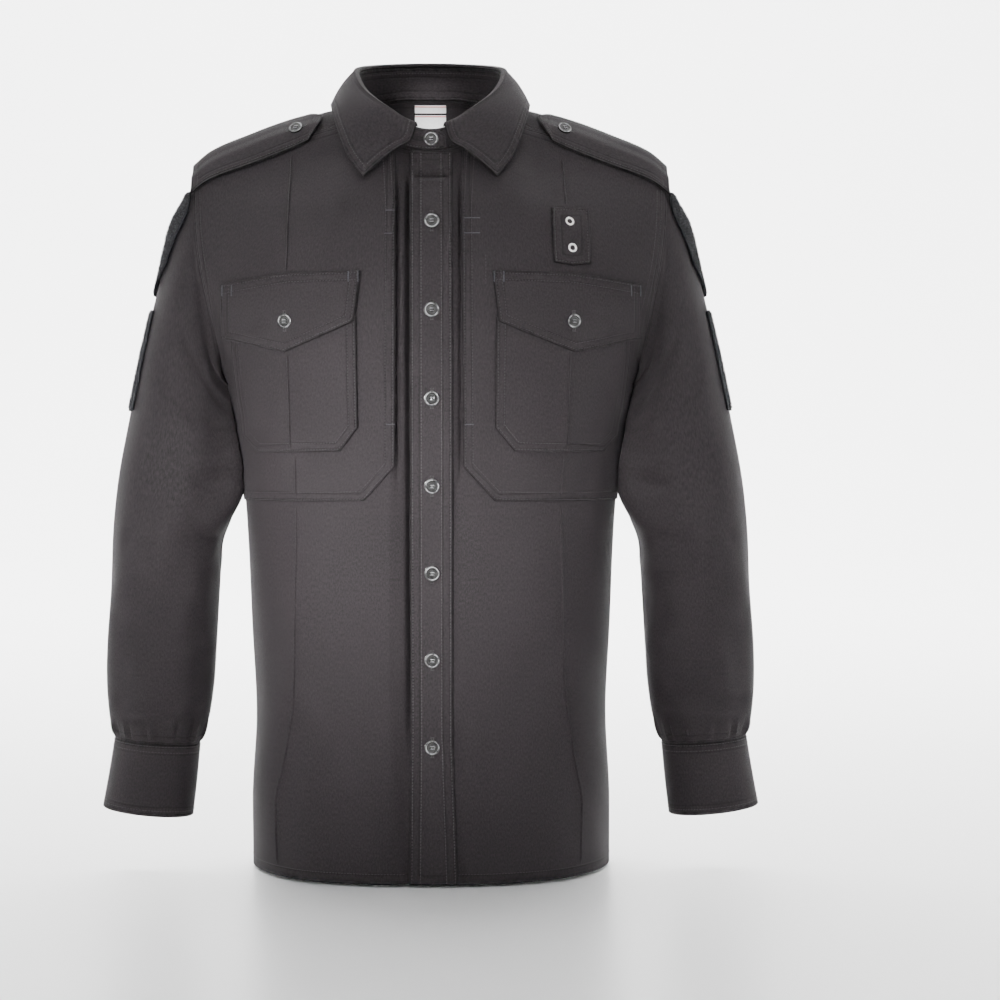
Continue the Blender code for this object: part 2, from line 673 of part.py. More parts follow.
def loft(rings, rows):
    """Rings joined by a smooth surface and read at even steps along it."""
    rings = np.array(rings)
    known = np.arange(len(rings), dtype=float)
    steps = np.linspace(0, known[-1], rows + 1)
    i = np.clip(steps.astype(int), 0, len(rings) - 2)
    t = (steps - i)[:, None, None]
    before, after = rings[np.maximum(i - 1, 0)], rings[np.minimum(i + 2, len(rings) - 1)]
    a, b = rings[i], rings[i + 1]
    bend = 2 * before - 5 * a + 4 * b - after
    return a + 0.5 * t * (b - before + t * (bend + t * (3 * (a - b) + after - before)))


SLEEVE_COLUMNS = 18
SLEEVE_ROWS = 22


def sleeve_grid(rows=SLEEVE_ROWS, columns=SLEEVE_COLUMNS):
    """The sleeve's outer surface on the wearer's left, and its normals."""
    seam, seam_normals = armhole_ring(columns)
    grid = loft([seam] + [section_ring(s, columns) for s in SLEEVE], rows)
    normals = grid_normals(grid, round_tube=True)
    if normals[rows // 2, 0, 0] < 0:
        normals = -normals
    normals[0] = seam_normals
    return grid, normals


def sleeve(name, sign):
    grid, normals = sleeve_grid()
    flip = np.array([sign, 1, 1])
    return cloth(name, grid * flip, (grid - normals * CLOTH) * flip, round_tube=True)


def cuff(name, sign):
    grid = loft([section_ring(s, SLEEVE_COLUMNS) for s in CUFF], 4)
    normals = grid_normals(grid, round_tube=True)
    if normals[1, 0, 0] < 0:
        normals = -normals
    flip = np.array([sign, 1, 1])
    return cloth(name, grid * flip, (grid - normals * DOUBLE_CLOTH) * flip, round_tube=True)


SleeveRow = namedtuple("SleeveRow", "share start end sag")
PATCH_COLUMNS = 8


def on_sleeve(name, sign, rows, wall, finish, lift):
    """A patch on a sleeve: for each row its share of the sleeve's length, the turns it spans and its sag."""
    fine_rows, fine_columns = SLEEVE_ROWS * 4, SLEEVE_COLUMNS * 20
    grid, normals = sleeve_grid(fine_rows, fine_columns)
    points, outs = [], []
    for row in rows:
        at = (row.share - row.sag * np.linspace(-1, 1, PATCH_COLUMNS + 1) ** 2) * fine_rows
        low = np.floor(at).astype(int)
        part = (at - low)[:, None]
        turns = np.linspace(row.start, row.end, PATCH_COLUMNS + 1)
        columns = np.round(turns / 360 * fine_columns).astype(int) % fine_columns
        points.append(grid[low, columns] * (1 - part) + grid[low + 1, columns] * part)
        outs.append(normals[low, columns])
    points, outs = np.array(points), np.array(outs)
    flip = np.array([sign, 1, 1])
    return cloth(name, (points + outs * (lift + wall)) * flip, (points + outs * lift) * flip, finish)


SHIELD = [
    SleeveRow(0.085, -46, 35, 0.055),
    SleeveRow(0.115, -47, 36, 0.045),
    SleeveRow(0.150, -47, 36, 0.030),
    SleeveRow(0.185, -46, 35, 0.018),
    SleeveRow(0.220, -42, 31, 0.014),
    SleeveRow(0.248, -30, 20, 0.012),
    SleeveRow(0.268, -9, 1, 0.000),
]
TAPE = [SleeveRow(share, -26, 22, 0.006) for share in (0.288, 0.321, 0.354, 0.387, 0.420)]
VENT = [SleeveRow(share, -62, -38, 0.0) for share in (0.815, 0.855, 0.895, 0.935, 0.985)]
LOOP_CLOTH = 0.0020


def disc(name, centre, normal, radius, height, finish, hole=0.0):
    """A round button or eyelet on its seat: a low rim, a dished face and, in an eyelet, a hole."""
    sides = 10
    normal = np.asarray(normal, float) / np.linalg.norm(normal)
    right = np.cross(normal, (0, 0, 1))
    right /= np.linalg.norm(right)
    up = np.cross(right, normal)
    if hole:
        outline = [(radius, 0), (radius, height * 0.6), (radius * 0.85, height), (hole * 1.15, height),
                   (hole, height * 0.6), (hole, 0)]
    else:
        outline = [(radius * 0.70, 0), (radius, height * 0.35), (radius, height * 0.75),
                   (radius * 0.88, height), (radius * 0.66, height * 0.62)]
    points = []
    for out, high in outline:
        for turn in np.linspace(0, 2 * math.pi, sides, endpoint=False):
            points.append(centre + normal * high + out * (right * math.cos(turn) + up * math.sin(turn)))
    rings = len(outline)
    faces = []
    for ring in range(rings if hole else rings - 1):
        for i in range(sides):
            a, b = ring * sides + i, ring * sides + (i + 1) % sides
            shift = (ring + 1) % rings * sides
            faces.append([a, b, shift + (i + 1) % sides, shift + i])
    if not hole:
        faces.append(list(range(sides))[::-1])
        faces.append([(rings - 1) * sides + i for i in range(sides)])
    piece = add_mesh(name, points, faces, finish)
    mesh = piece.data
    a, b, c = (np.array(mesh.vertices[mesh.polygons[0].vertices[i]].co) for i in range(3))
    if np.dot(np.cross(b - a, c - a), (a + c) / 2 - centre) < 0:
        mesh.flip_normals()
    return piece


LABEL_HALF_WIDTH = 0.0158
BUTTON_RADIUS = 0.0074
SMALL_BUTTON_RADIUS = 0.0070
BUTTON_HEIGHT = 0.0028
SEAT_GAP = 0.0004


def torso_button(name, x, z, lift, radius=BUTTON_RADIUS):
    point, normal = torso(FRONT, x, z)
    disc(name, point + normal * (lift + SEAT_GAP), normal, radius, BUTTON_HEIGHT, RESIN)


def placket_buttons():
    for i in range(PLACKET_BUTTONS):
        z = FIRST_BUTTON_Z - BUTTON_PITCH * i
        torso_button(f"placket_button_{i + 1}", BUTTON_X, z, PLACKET_LIFT + DOUBLE_CLOTH)


def stand_button():
    neck_front = -float(torso(FRONT, 0, NECK_FRONT_Z)[0][1])
    y = -(neck_front + FOLD_FRONT) / 2 - STAND_LAP - DOUBLE_CLOTH / 2 - SEAT_GAP
    centre = np.array([0.0005, y, -0.0330])
    disc("stand_button", centre, (0, -1, 0.16), SMALL_BUTTON_RADIUS, BUTTON_HEIGHT, RESIN)


def eyelets():
    for i, (x, z) in enumerate([(0.1325, -0.1150), (0.1350, -0.1400)]):
        point, normal = torso(FRONT, x, z)
        seat = point + normal * (TAB_LIFT + DOUBLE_CLOTH + SEAT_GAP)
        disc(f"eyelet_{i + 1}", seat, normal, 0.0050, 0.0009, NICKEL, hole=0.0026)


def epaulette_button(name, sign):
    x, turn = 0.1305, -0.40
    z = float(rolled(x, turn)[1])
    point, normal = torso(FRONT, x, z)
    flip = np.array([sign, 1, 1])
    lift = float(epaulette_lift(ridge_z(x) - z)) + DOUBLE_CLOTH + SEAT_GAP
    disc(name, (point + normal * lift) * flip, normal * flip, SMALL_BUTTON_RADIUS, BUTTON_HEIGHT, RESIN)


def cuff_button(name, sign):
    ring = section_ring(CUFF[1], 360)
    at = 360 - 50
    point = ring[at]
    along = ring[at + 1] - ring[at - 1]
    normal = np.cross(along, np.array([0.03, 0, -1]))
    normal *= -np.sign(normal[0]) if normal[0] < 0 else 1
    normal /= np.linalg.norm(normal)
    flip = np.array([sign, 1, 1])
    disc(name, point * flip, normal * flip, SMALL_BUTTON_RADIUS, BUTTON_HEIGHT, RESIN)


def neck_label(name, low_z, high_z, depth):
    """A blank woven label inside the back of the neck, so far in from the cloth's outer face."""
    x = np.linspace(-LABEL_HALF_WIDTH, LABEL_HALF_WIDTH, 5)
    grid = np.meshgrid(x, np.linspace(low_z, high_z, 3))
    points, normals = torso(BACK, *grid)
    return cloth(name, points - normals * depth, points - normals * (depth + CLOTH), LABEL)


for left_over in list(bpy.data.objects):
    bpy.data.objects.remove(left_over)

front_panel("front_left", 1, -0.0185, under=False)
front_panel("front_right", -1, -0.0160, under=True)
chest_overlay("chest_overlay_left", 1, 0.0300, 0.0610)
chest_overlay("chest_overlay_right", -1, 0.0338, 0.0640)
back_panel()
yoke()
collar_stand()
collar_leaf()
placket()
placket_buttons()
stand_button()
badge_tab()
eyelets()
neck_label("size_label", 0.0035, 0.0105, 0.0028)
neck_label("care_label", -0.0200, 0.0010, 0.0028)
for end, sign, spread, shift in (("left", 1, 1.08, -0.0030), ("right", -1, 1.0, 0.0)):
    pocket(f"pocket_{end}", sign, spread, shift)
    flap(f"pocket_flap_{end}", sign, spread, shift)
    epaulette(f"epaulette_{end}", sign)
    epaulette_button(f"epaulette_button_{end}", sign)
    sleeve(f"sleeve_{end}", sign)
    cuff(f"cuff_{end}", sign)
    cuff_button(f"cuff_button_{end}", sign)
    on_sleeve(f"sleeve_vent_{end}", sign, VENT, DOUBLE_CLOTH, TWILL, 0.0005)
    on_sleeve(f"shield_loop_{end}", sign, SHIELD, LOOP_CLOTH, LOOP_TAPE, 0.0013)
    on_sleeve(f"tape_loop_{end}", sign, TAPE, LOOP_CLOTH, LOOP_TAPE, 0.0005)
    button_x = sign * (CHEST_BUTTON_X + shift)
    button_lift = FLAP_LIFT + DOUBLE_CLOTH
    torso_button(f"pocket_button_{end}", button_x, CHEST_BUTTON_Z, button_lift, SMALL_BUTTON_RADIUS)
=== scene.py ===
"""The long-sleeved work shirt in its cloth, with its sewing, buttons and loop panels, on a pale floor."""
import math
from collections import namedtuple

import bpy
import numpy as np
from mathutils import Matrix, Vector


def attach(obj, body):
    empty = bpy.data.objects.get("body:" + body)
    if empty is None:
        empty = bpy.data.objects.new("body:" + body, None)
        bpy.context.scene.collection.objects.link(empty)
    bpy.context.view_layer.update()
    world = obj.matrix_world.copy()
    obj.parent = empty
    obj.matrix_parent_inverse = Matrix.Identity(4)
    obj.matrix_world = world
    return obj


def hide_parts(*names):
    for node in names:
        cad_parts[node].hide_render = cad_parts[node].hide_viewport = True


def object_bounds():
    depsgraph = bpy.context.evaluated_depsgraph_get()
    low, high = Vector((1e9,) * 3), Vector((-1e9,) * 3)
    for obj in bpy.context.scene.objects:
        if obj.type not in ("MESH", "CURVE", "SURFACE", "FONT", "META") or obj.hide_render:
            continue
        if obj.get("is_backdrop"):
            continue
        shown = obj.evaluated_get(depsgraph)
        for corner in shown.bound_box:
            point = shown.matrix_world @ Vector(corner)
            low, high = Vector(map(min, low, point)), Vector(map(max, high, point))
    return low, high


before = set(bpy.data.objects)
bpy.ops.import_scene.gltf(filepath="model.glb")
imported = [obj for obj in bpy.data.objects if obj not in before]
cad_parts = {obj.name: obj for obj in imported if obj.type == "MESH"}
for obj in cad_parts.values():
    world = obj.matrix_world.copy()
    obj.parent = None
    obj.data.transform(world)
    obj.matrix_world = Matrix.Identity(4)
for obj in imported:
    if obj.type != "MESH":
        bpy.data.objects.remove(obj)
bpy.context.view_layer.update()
bpy.ops.object.select_all(action="DESELECT")
chance = np.random.default_rng(7)

# The body's measures, as the solids have them
HEM_Z = -0.751
ARMPIT_Z = -0.265
BACK_SEAM_Z = -0.100
NECK_HALF_WIDTH = 0.078
NECK_FRONT_Z = -0.0450
NECK_SIDE_Z = 0.004
NECK_CURVE = 0.8
NECK_BACK = 0.062
FOLD_HALF_WIDTH = 0.0705
FOLD_FRONT = 0.070
FOLD_BACK = 0.056
LEAF_HALF_WIDTH = 0.0975
LEAF_FRONT = 0.114
LEAF_BACK = 0.077
PLACKET_LEFT_X = -0.0197
PLACKET_RIGHT_X = 0.0206
PLACKET_FLARE_Z = -0.610
BUTTON_X = 0.001
BUTTON_PITCH = 0.0842
FIRST_BUTTON_Z = -0.1140
PLACKET_BUTTONS = 7
SEAM_DROP = 0.021
CHEST_BUTTON_Z = -0.2087
CHEST_BUTTON_X = 0.1375
OVERLAY_LOW_Z = -0.381
ROUNDNESS = 2.5
QUARTER = math.pi / 2
FRONT = -1
BACK = 1
NUDGE = 1e-4

# Cloth, and how far its layers lie off the body
CLOTH = 0.0012
DOUBLE_CLOTH = 0.0018
LAYER_GAP = 0.0006
SEAM_GAP = 0.0002
SLEEVE_TUCK = 0.0025
PANEL_LIFT = -CLOTH
OVERLAY_LIFT = LAYER_GAP
POCKET_LIFT = OVERLAY_LIFT + CLOTH + 0.0016
TAB_LIFT = OVERLAY_LIFT + CLOTH + 0.0007
FLAP_LIFT = POCKET_LIFT + CLOTH + 0.0009
STRAP_LIFT = LAYER_GAP + 0.0004
STRAP_FRONT_LIFT = OVERLAY_LIFT + CLOTH + 0.0013
PLACKET_LIFT = LAYER_GAP
UNDER_STEP = CLOTH + LAYER_GAP + 0.0010
COVERED_STEP = 0.0015
SHIELD_LIFT = 0.0013
PATCH_LIFT = 0.0005
THREAD_LIFT = 0.00005
WELT_SINK = 0.00005
SEAT_GAP = 0.0003
STAND_OVERLAP = 0.0014
OVERLAY_EDGE_X = {"left": 0.0300, "right": 0.0338}
OVERLAY_CHAMFER_X = {"left": 0.0610, "right": 0.0640}
CHEST_TOP_Z = -0.10
FINE = 5

Level = namedtuple("Level", "z half_width front back")
BODY = [
    Level(-0.751, 0.1790, 0.133, 0.112),
    Level(-0.690, 0.179, 0.129, 0.108),
    Level(-0.600, 0.175, 0.122, 0.100),
    Level(-0.510, 0.179, 0.120, 0.096),
    Level(-0.430, 0.182, 0.122, 0.098),
    Level(-0.350, 0.188, 0.127, 0.104),
    Level(-0.265, 0.205, 0.131, 0.112),
    Level(-0.220, 0.228, 0.129, 0.115),
    Level(-0.160, 0.258, 0.120, 0.114),
    Level(-0.100, 0.270, 0.103, 0.108),
    Level(-0.045, 0.275, 0.0752, 0.101),
    Level(0.030, 0.275, 0.0735, 0.099),
]
Ridge = namedtuple("Ridge", "x z roll")
SHOULDER = [
    Ridge(0.000, 0.030, 0.080),
    Ridge(0.020, 0.0288, 0.081),
    Ridge(0.050, 0.019, 0.085),
    Ridge(0.078, 0.004, 0.095),
    Ridge(0.105, -0.003, 0.135),
    Ridge(0.140, -0.013, 0.175),
    Ridge(0.180, -0.028, 0.195),
    Ridge(0.215, -0.043, 0.200),
    Ridge(0.238, -0.062, 0.200),
]
ArmholeLevel = namedtuple("ArmholeLevel", "z x")
ARMHOLE = [
    ArmholeLevel(-0.265, 0.2050),
    ArmholeLevel(-0.230, 0.2090),
    ArmholeLevel(-0.190, 0.2165),
    ArmholeLevel(-0.150, 0.2255),
    ArmholeLevel(-0.113, 0.2305),
    ArmholeLevel(-0.060, 0.2335),
]
CollarFold = namedtuple("CollarFold", "y z")
COLLAR_FOLD = [
    CollarFold(-0.0700, -0.0190),
    CollarFold(-0.0590, -0.0020),
    CollarFold(-0.0380, 0.0152),
    CollarFold(0.0000, 0.0385),
    CollarFold(0.0560, 0.0500),
]
FOLD_RISE = 0.0048
Section = namedtuple("Section", "outer_x outer_z inner_x inner_z centre_y front back")
SLEEVE = [
    Section(0.2400, -0.0850, 0.2110, -0.2850, 0.000, 0.060, 0.060),
    Section(0.2560, -0.1170, 0.2035, -0.3080, 0.002, 0.062, 0.063),
    Section(0.2695, -0.1720, 0.1975, -0.3300, 0.002, 0.063, 0.064),
    Section(0.2840, -0.2330, 0.1935, -0.3540, 0.000, 0.062, 0.062),
    Section(0.2975, -0.2960, 0.1920, -0.3780, -0.003, 0.060, 0.060),
    Section(0.3080, -0.3540, 0.1970, -0.4020, -0.006, 0.058, 0.058),
    Section(0.3150, -0.4150, 0.2080, -0.4300, -0.010, 0.056, 0.056),
    Section(0.3190, -0.4700, 0.2110, -0.4700, -0.015, 0.054, 0.054),
    Section(0.3212, -0.5250, 0.2140, -0.5200, -0.021, 0.051, 0.052),
    Section(0.3214, -0.5740, 0.2160, -0.5700, -0.027, 0.048, 0.049),
    Section(0.3180, -0.6020, 0.2210, -0.6020, -0.031, 0.044, 0.045),
    Section(0.3130, -0.6200, 0.2295, -0.6265, -0.033, 0.037, 0.038),
]
CUFF = [
    Section(0.3136, -0.6206, 0.2289, -0.6271, -0.0332, 0.0376, 0.0386),
    Section(0.3190, -0.6540, 0.2320, -0.6620, -0.0360, 0.0390, 0.0400),
    Section(0.3250, -0.6870, 0.2360, -0.6965, -0.0390, 0.0395, 0.0405),
]
PleatRow = namedtuple("PleatRow", "z edge_x")
BACK_PLEAT = [
    PleatRow(-0.751, 0.1480),
    PleatRow(-0.480, 0.1490),
    PleatRow(-0.400, 0.1530),
    PleatRow(-0.300, 0.1620),
    PleatRow(-0.200, 0.1760),
    PleatRow(-0.100, 0.1880),
]
PLEAT_STEP = 0.0020
PLEAT_STEP_WIDTH = 0.0012

# Folds of the worn cloth: troughs are negative
Fold = namedtuple("Fold", "side x0 z0 x1 z1 width depth")
BODY_FOLDS = [
    Fold(FRONT, -0.116, -0.590, -0.090, -0.648, 0.018, -0.0034),
    Fold(FRONT, -0.066, -0.574, -0.044, -0.582, 0.012, -0.0020),
    Fold(FRONT, -0.030, -0.610, -0.0225, -0.748, 0.007, -0.0020),
    Fold(FRONT, 0.0250, -0.085, 0.0248, -0.400, 0.0036, -0.0016),
    Fold(FRONT, -0.150, -0.400, -0.158, -0.560, 0.016, -0.0018),
    Fold(FRONT, -0.105, -0.470, -0.118, -0.735, 0.024, 0.0022),
    Fold(FRONT, -0.060, -0.640, -0.055, -0.750, 0.016, 0.0016),
    Fold(FRONT, -0.176, -0.300, -0.120, -0.360, 0.014, -0.0014),
    Fold(FRONT, -0.205, -0.232, -0.160, -0.205, 0.010, -0.0022),
    Fold(FRONT, -0.090, -0.110, -0.150, -0.150, 0.016, -0.0010),
    Fold(FRONT, -0.014, -0.0620, 0.013, -0.0650, 0.0030, 0.0040),
    Fold(FRONT, -0.012, -0.0700, 0.015, -0.0700, 0.0024, -0.0042),
    Fold(FRONT, -0.016, -0.0780, 0.008, -0.0770, 0.0030, 0.0016),
    Fold(FRONT, 0.112, -0.560, 0.086, -0.640, 0.018, -0.0030),
    Fold(FRONT, 0.060, -0.610, 0.040, -0.628, 0.013, -0.0018),
    Fold(FRONT, 0.034, -0.600, 0.031, -0.748, 0.007, -0.0016),
    Fold(FRONT, 0.148, -0.410, 0.160, -0.580, 0.016, -0.0018),
    Fold(FRONT, 0.104, -0.450, 0.122, -0.730, 0.024, 0.0020),
    Fold(FRONT, 0.178, -0.310, 0.128, -0.372, 0.014, -0.0016),
    Fold(FRONT, 0.205, -0.238, 0.158, -0.206, 0.010, -0.0024),
    Fold(FRONT, 0.080, -0.120, 0.158, -0.152, 0.016, -0.0010),
    Fold(BACK, -0.050, -0.130, -0.062, -0.420, 0.018, -0.0020),
    Fold(BACK, 0.040, -0.160, 0.070, -0.480, 0.018, -0.0022),
    Fold(BACK, -0.020, -0.480, 0.012, -0.740, 0.026, 0.0026),
    Fold(BACK, 0.100, -0.420, 0.084, -0.730, 0.022, -0.0026),
    Fold(BACK, -0.104, -0.450, -0.090, -0.735, 0.022, -0.0026),
    Fold(BACK, -0.130, -0.370, -0.030, -0.445, 0.014, -0.0020),
    Fold(BACK, 0.136, -0.360, 0.020, -0.452, 0.014, -0.0018),
    Fold(BACK, -0.120, -0.200, -0.150, -0.320, 0.014, 0.0018),
    Fold(BACK, 0.124, -0.210, 0.148, -0.330, 0.014, 0.0016),
]
# Folds on a sleeve, by share of its length and by turn from its outer point round by the front
Band = namedtuple("Band", "share0 turn0 share1 turn1 width depth")
SLEEVE_BANDS = [
    Band(0.590, 50, 0.575, 140, 0.011, -0.0032),
    Band(0.630, 80, 0.640, 165, 0.010, 0.0024),
    Band(0.720, 40, 0.735, 130, 0.014, -0.0034),
    Band(0.790, 70, 0.770, 160, 0.012, 0.0024),
    Band(0.850, 45, 0.835, 140, 0.012, -0.0028),
    Band(0.905, 60, 0.890, 150, 0.009, -0.0018),
    Band(0.250, 150, 0.340, 95, 0.009, -0.0034),
    Band(0.310, 165, 0.410, 110, 0.009, 0.0026),
    Band(0.370, 165, 0.455, 115, 0.008, -0.0026),
    Band(0.200, 130, 0.240, 85, 0.010, -0.0022),
    Band(0.080, 70, 0.330, 62, 0.014, -0.0022),
    Band(0.150, 300, 0.430, 292, 0.012, 0.0026),
    Band(0.120, 275, 0.300, 250, 0.012, -0.0030),
    Band(0.360, 240, 0.480, 270, 0.011, -0.0030),
    Band(0.560, 210, 0.600, 300, 0.012, -0.0034),
    Band(0.620, 200, 0.650, 290, 0.010, 0.0026),
    Band(0.690, 215, 0.680, 305, 0.012, -0.0032),
    Band(0.780, 205, 0.760, 270, 0.011, -0.0024),
]


def column(table, name):
    return np.array([getattr(row, name) for row in table])


def smooth(table, name, at, key="z"):
    """The named column as a smooth curve through the table's rows."""
    known, value = column(table, key), column(table, name)
    if known[0] > known[-1]:
        known, value = known[::-1], value[::-1]
    at = np.clip(np.asarray(at, float), known[0], known[-1])
    gap = np.diff(known)
    rise = np.diff(value) / gap
    inner = np.where(rise[:-1] * rise[1:] > 0, 2 * rise[:-1] * rise[1:] / (rise[:-1] + rise[1:] + 1e-12), 0)
    slope = np.concatenate([rise[:1], inner, rise[-1:]])
    i = np.clip(np.searchsorted(known, at, side="right") - 1, 0, len(gap) - 1)
    t = (at - known[i]) / gap[i]
    return (
        value[i] * (1 + 2 * t) * (1 - t) ** 2
        + slope[i] * gap[i] * t * (1 - t) ** 2
        + value[i + 1] * t * t * (3 - 2 * t)
        - slope[i + 1] * gap[i] * t * t * (1 - t)
    )


def ease(t):
    t = np.clip(t, 0, 1)
    return t * t * (3 - 2 * t)


def ridge_z(x):
    return smooth(SHOULDER, "z", abs(x), key="x")


def roll(x):
    return smooth(SHOULDER, "roll", abs(x), key="x")


def half_width(z):
    return smooth(BODY, "half_width", z)


def armhole_x(z):
    return smooth(ARMHOLE, "x", z)


def squared_depth(side, x, z):
    depth = np.where(np.asarray(side) < 0, smooth(BODY, "front", z), smooth(BODY, "back", z))
    drop = np.clip((ridge_z(x) - z) / roll(x), -0.2, 1)
    return depth**2 * (1 - (abs(x) / half_width(z)) ** ROUNDNESS) * drop * (2 - drop)


def body(side, x, z):
    """Points of the body's surface over x and z, and the outward normals there."""
    x, z = np.broadcast_arrays(np.asarray(x, float), np.asarray(z, float))
    y = side * np.sqrt(np.maximum(squared_depth(side, x, z), 0))
    slope_x = squared_depth(side, x + NUDGE, z) - squared_depth(side, x - NUDGE, z)
    slope_z = squared_depth(side, x, z + NUDGE) - squared_depth(side, x, z - NUDGE)
    normal = np.stack([-slope_x, 4 * NUDGE * y, -slope_z], axis=-1)
    return np.stack([x, y, z], axis=-1), normal / np.linalg.norm(normal, axis=-1, keepdims=True)


def side_angle(x, z):
    return np.sign(x) * np.arcsin(np.clip(abs(x) / half_width(z), 0, 1) ** (ROUNDNESS / 2))


def at_angle(angle, z):
    return half_width(z) * np.sign(angle) * np.sin(abs(angle)) ** (2 / ROUNDNESS)


def front_seam_z(x):
    return ridge_z(x) - SEAM_DROP


RIPPLES = [(chance.uniform(22, 60), chance.uniform(10, 34), chance.uniform(0, 6.3)) for _ in range(7)]
RIPPLE_HEIGHT = 0.00042
SIDE_CALM_TURN = 0.30
ARMHOLE_CALM = 0.030
SEAM_CALM = 0.035
COLLAR_CALM = 0.030
COLLAR_CALM_Z = -0.048
COLLAR_CALM_RISE = 0.55


def near_line(x, z, x0, z0, x1, z1):
    """How far points lie from a line between two points."""
    along_x, along_z = x1 - x0, z1 - z0
    t = np.clip(((x - x0) * along_x + (z - z0) * along_z) / (along_x**2 + along_z**2), 0, 1)
    return np.hypot(x - x0 - t * along_x, z - z0 - t * along_z)


def body_folds(side, x, z):
    """How far the worn cloth stands off its plain shape, dying out at the seams."""
    side, x, z = np.broadcast_arrays(np.asarray(side), np.asarray(x, float), np.asarray(z, float))
    high = sum(np.sin(a * x * (1 + 0.2 * side) + b * z + c + side) for a, b, c in RIPPLES) * RIPPLE_HEIGHT
    for fold in BODY_FOLDS:
        away = near_line(x, z, fold.x0, fold.z0, fold.x1, fold.z1)
        high = high + (side == fold.side) * fold.depth * np.exp(-((away / fold.width) ** 2))
    calm = ease((QUARTER - abs(side_angle(x, z))) / SIDE_CALM_TURN)
    by_armhole = 1 - ease((armhole_x(z) - abs(x)) / ARMHOLE_CALM)
    calm = calm * (1 - ease((z - ARMPIT_Z) / ARMHOLE_CALM) * by_armhole)
    seam = np.where(side == FRONT, front_seam_z(x), BACK_SEAM_Z)
    calm = calm * ease((seam - z) / SEAM_CALM)
    under_collar = ease((COLLAR_CALM_Z + COLLAR_CALM_RISE * abs(x) - z) / COLLAR_CALM)
    return high * calm * np.where(side == FRONT, under_collar, 1)


def on_body(side, x, z, lift):
    """Points at a height over the body's surface, folds and all, and the normals there."""
    points, normals = body(side, x, z)
    high = np.broadcast_to(lift, points.shape[:-1]) + body_folds(side, x, z)
    return points + normals * high[..., None], normals


def path(points, counts):
    """A path through corner points, with so many steps on each stretch."""
    rows = [np.linspace(a, b, n, endpoint=False) for a, b, n in zip(points, points[1:], counts)]
    return np.array([*np.concatenate(rows), points[-1]], float)


def patch(bottom, top, left, right):
    """A grid of (x, z) whose borders are four given paths, blended by their angle round the body."""
    borders = [np.stack([side_angle(p[:, 0], p[:, 1]), p[:, 1]], axis=1) for p in (bottom, top, left, right)]
    bottom, top, left, right = borders
    u = np.linspace(0, 1, len(bottom))[None, :, None]
    v = np.linspace(0, 1, len(left))[:, None, None]
    grid = (1 - v) * bottom + v * top + (1 - u) * left[:, None] + u * right[:, None]
    grid -= (1 - u) * (1 - v) * bottom[0] + u * (1 - v) * bottom[-1] + (1 - u) * v * top[0] + u * v * top[-1]
    return at_angle(grid[..., 0], grid[..., 1]), grid[..., 1]


def grid_normals(grid, tube=False):
    across = np.roll(grid, -1, axis=1) - np.roll(grid, 1, axis=1) if tube else np.gradient(grid, axis=1)
    normal = np.cross(across, np.gradient(grid, axis=0))
    return normal / np.linalg.norm(normal, axis=-1, keepdims=True)


def run_of(points):
    """The length along a path at each of its points."""
    return np.concatenate([[0], np.cumsum(np.linalg.norm(np.diff(points, axis=0), axis=1))])


def from_edges(grid, tube):
    """How far each point of a grid lies from its nearest edge, and how far along that edge."""
    over = np.linalg.norm(np.diff(grid, axis=1, prepend=grid[:, :1]), axis=2).cumsum(axis=1)
    up = np.linalg.norm(np.diff(grid, axis=0, prepend=grid[:1]), axis=2).cumsum(axis=0)
    from_ends = np.minimum(up, up[-1:] - up)
    if tube:
        return from_ends, over
    from_sides = np.minimum(over, over[:, -1:] - over)
    return np.minimum(from_ends, from_sides), np.where(from_sides < from_ends, up, over)


FAR_IN = 0.05
RIM_ROUNDING = 0.35
SHARP_ANGLE = math.radians(38)
GRIDS = {}


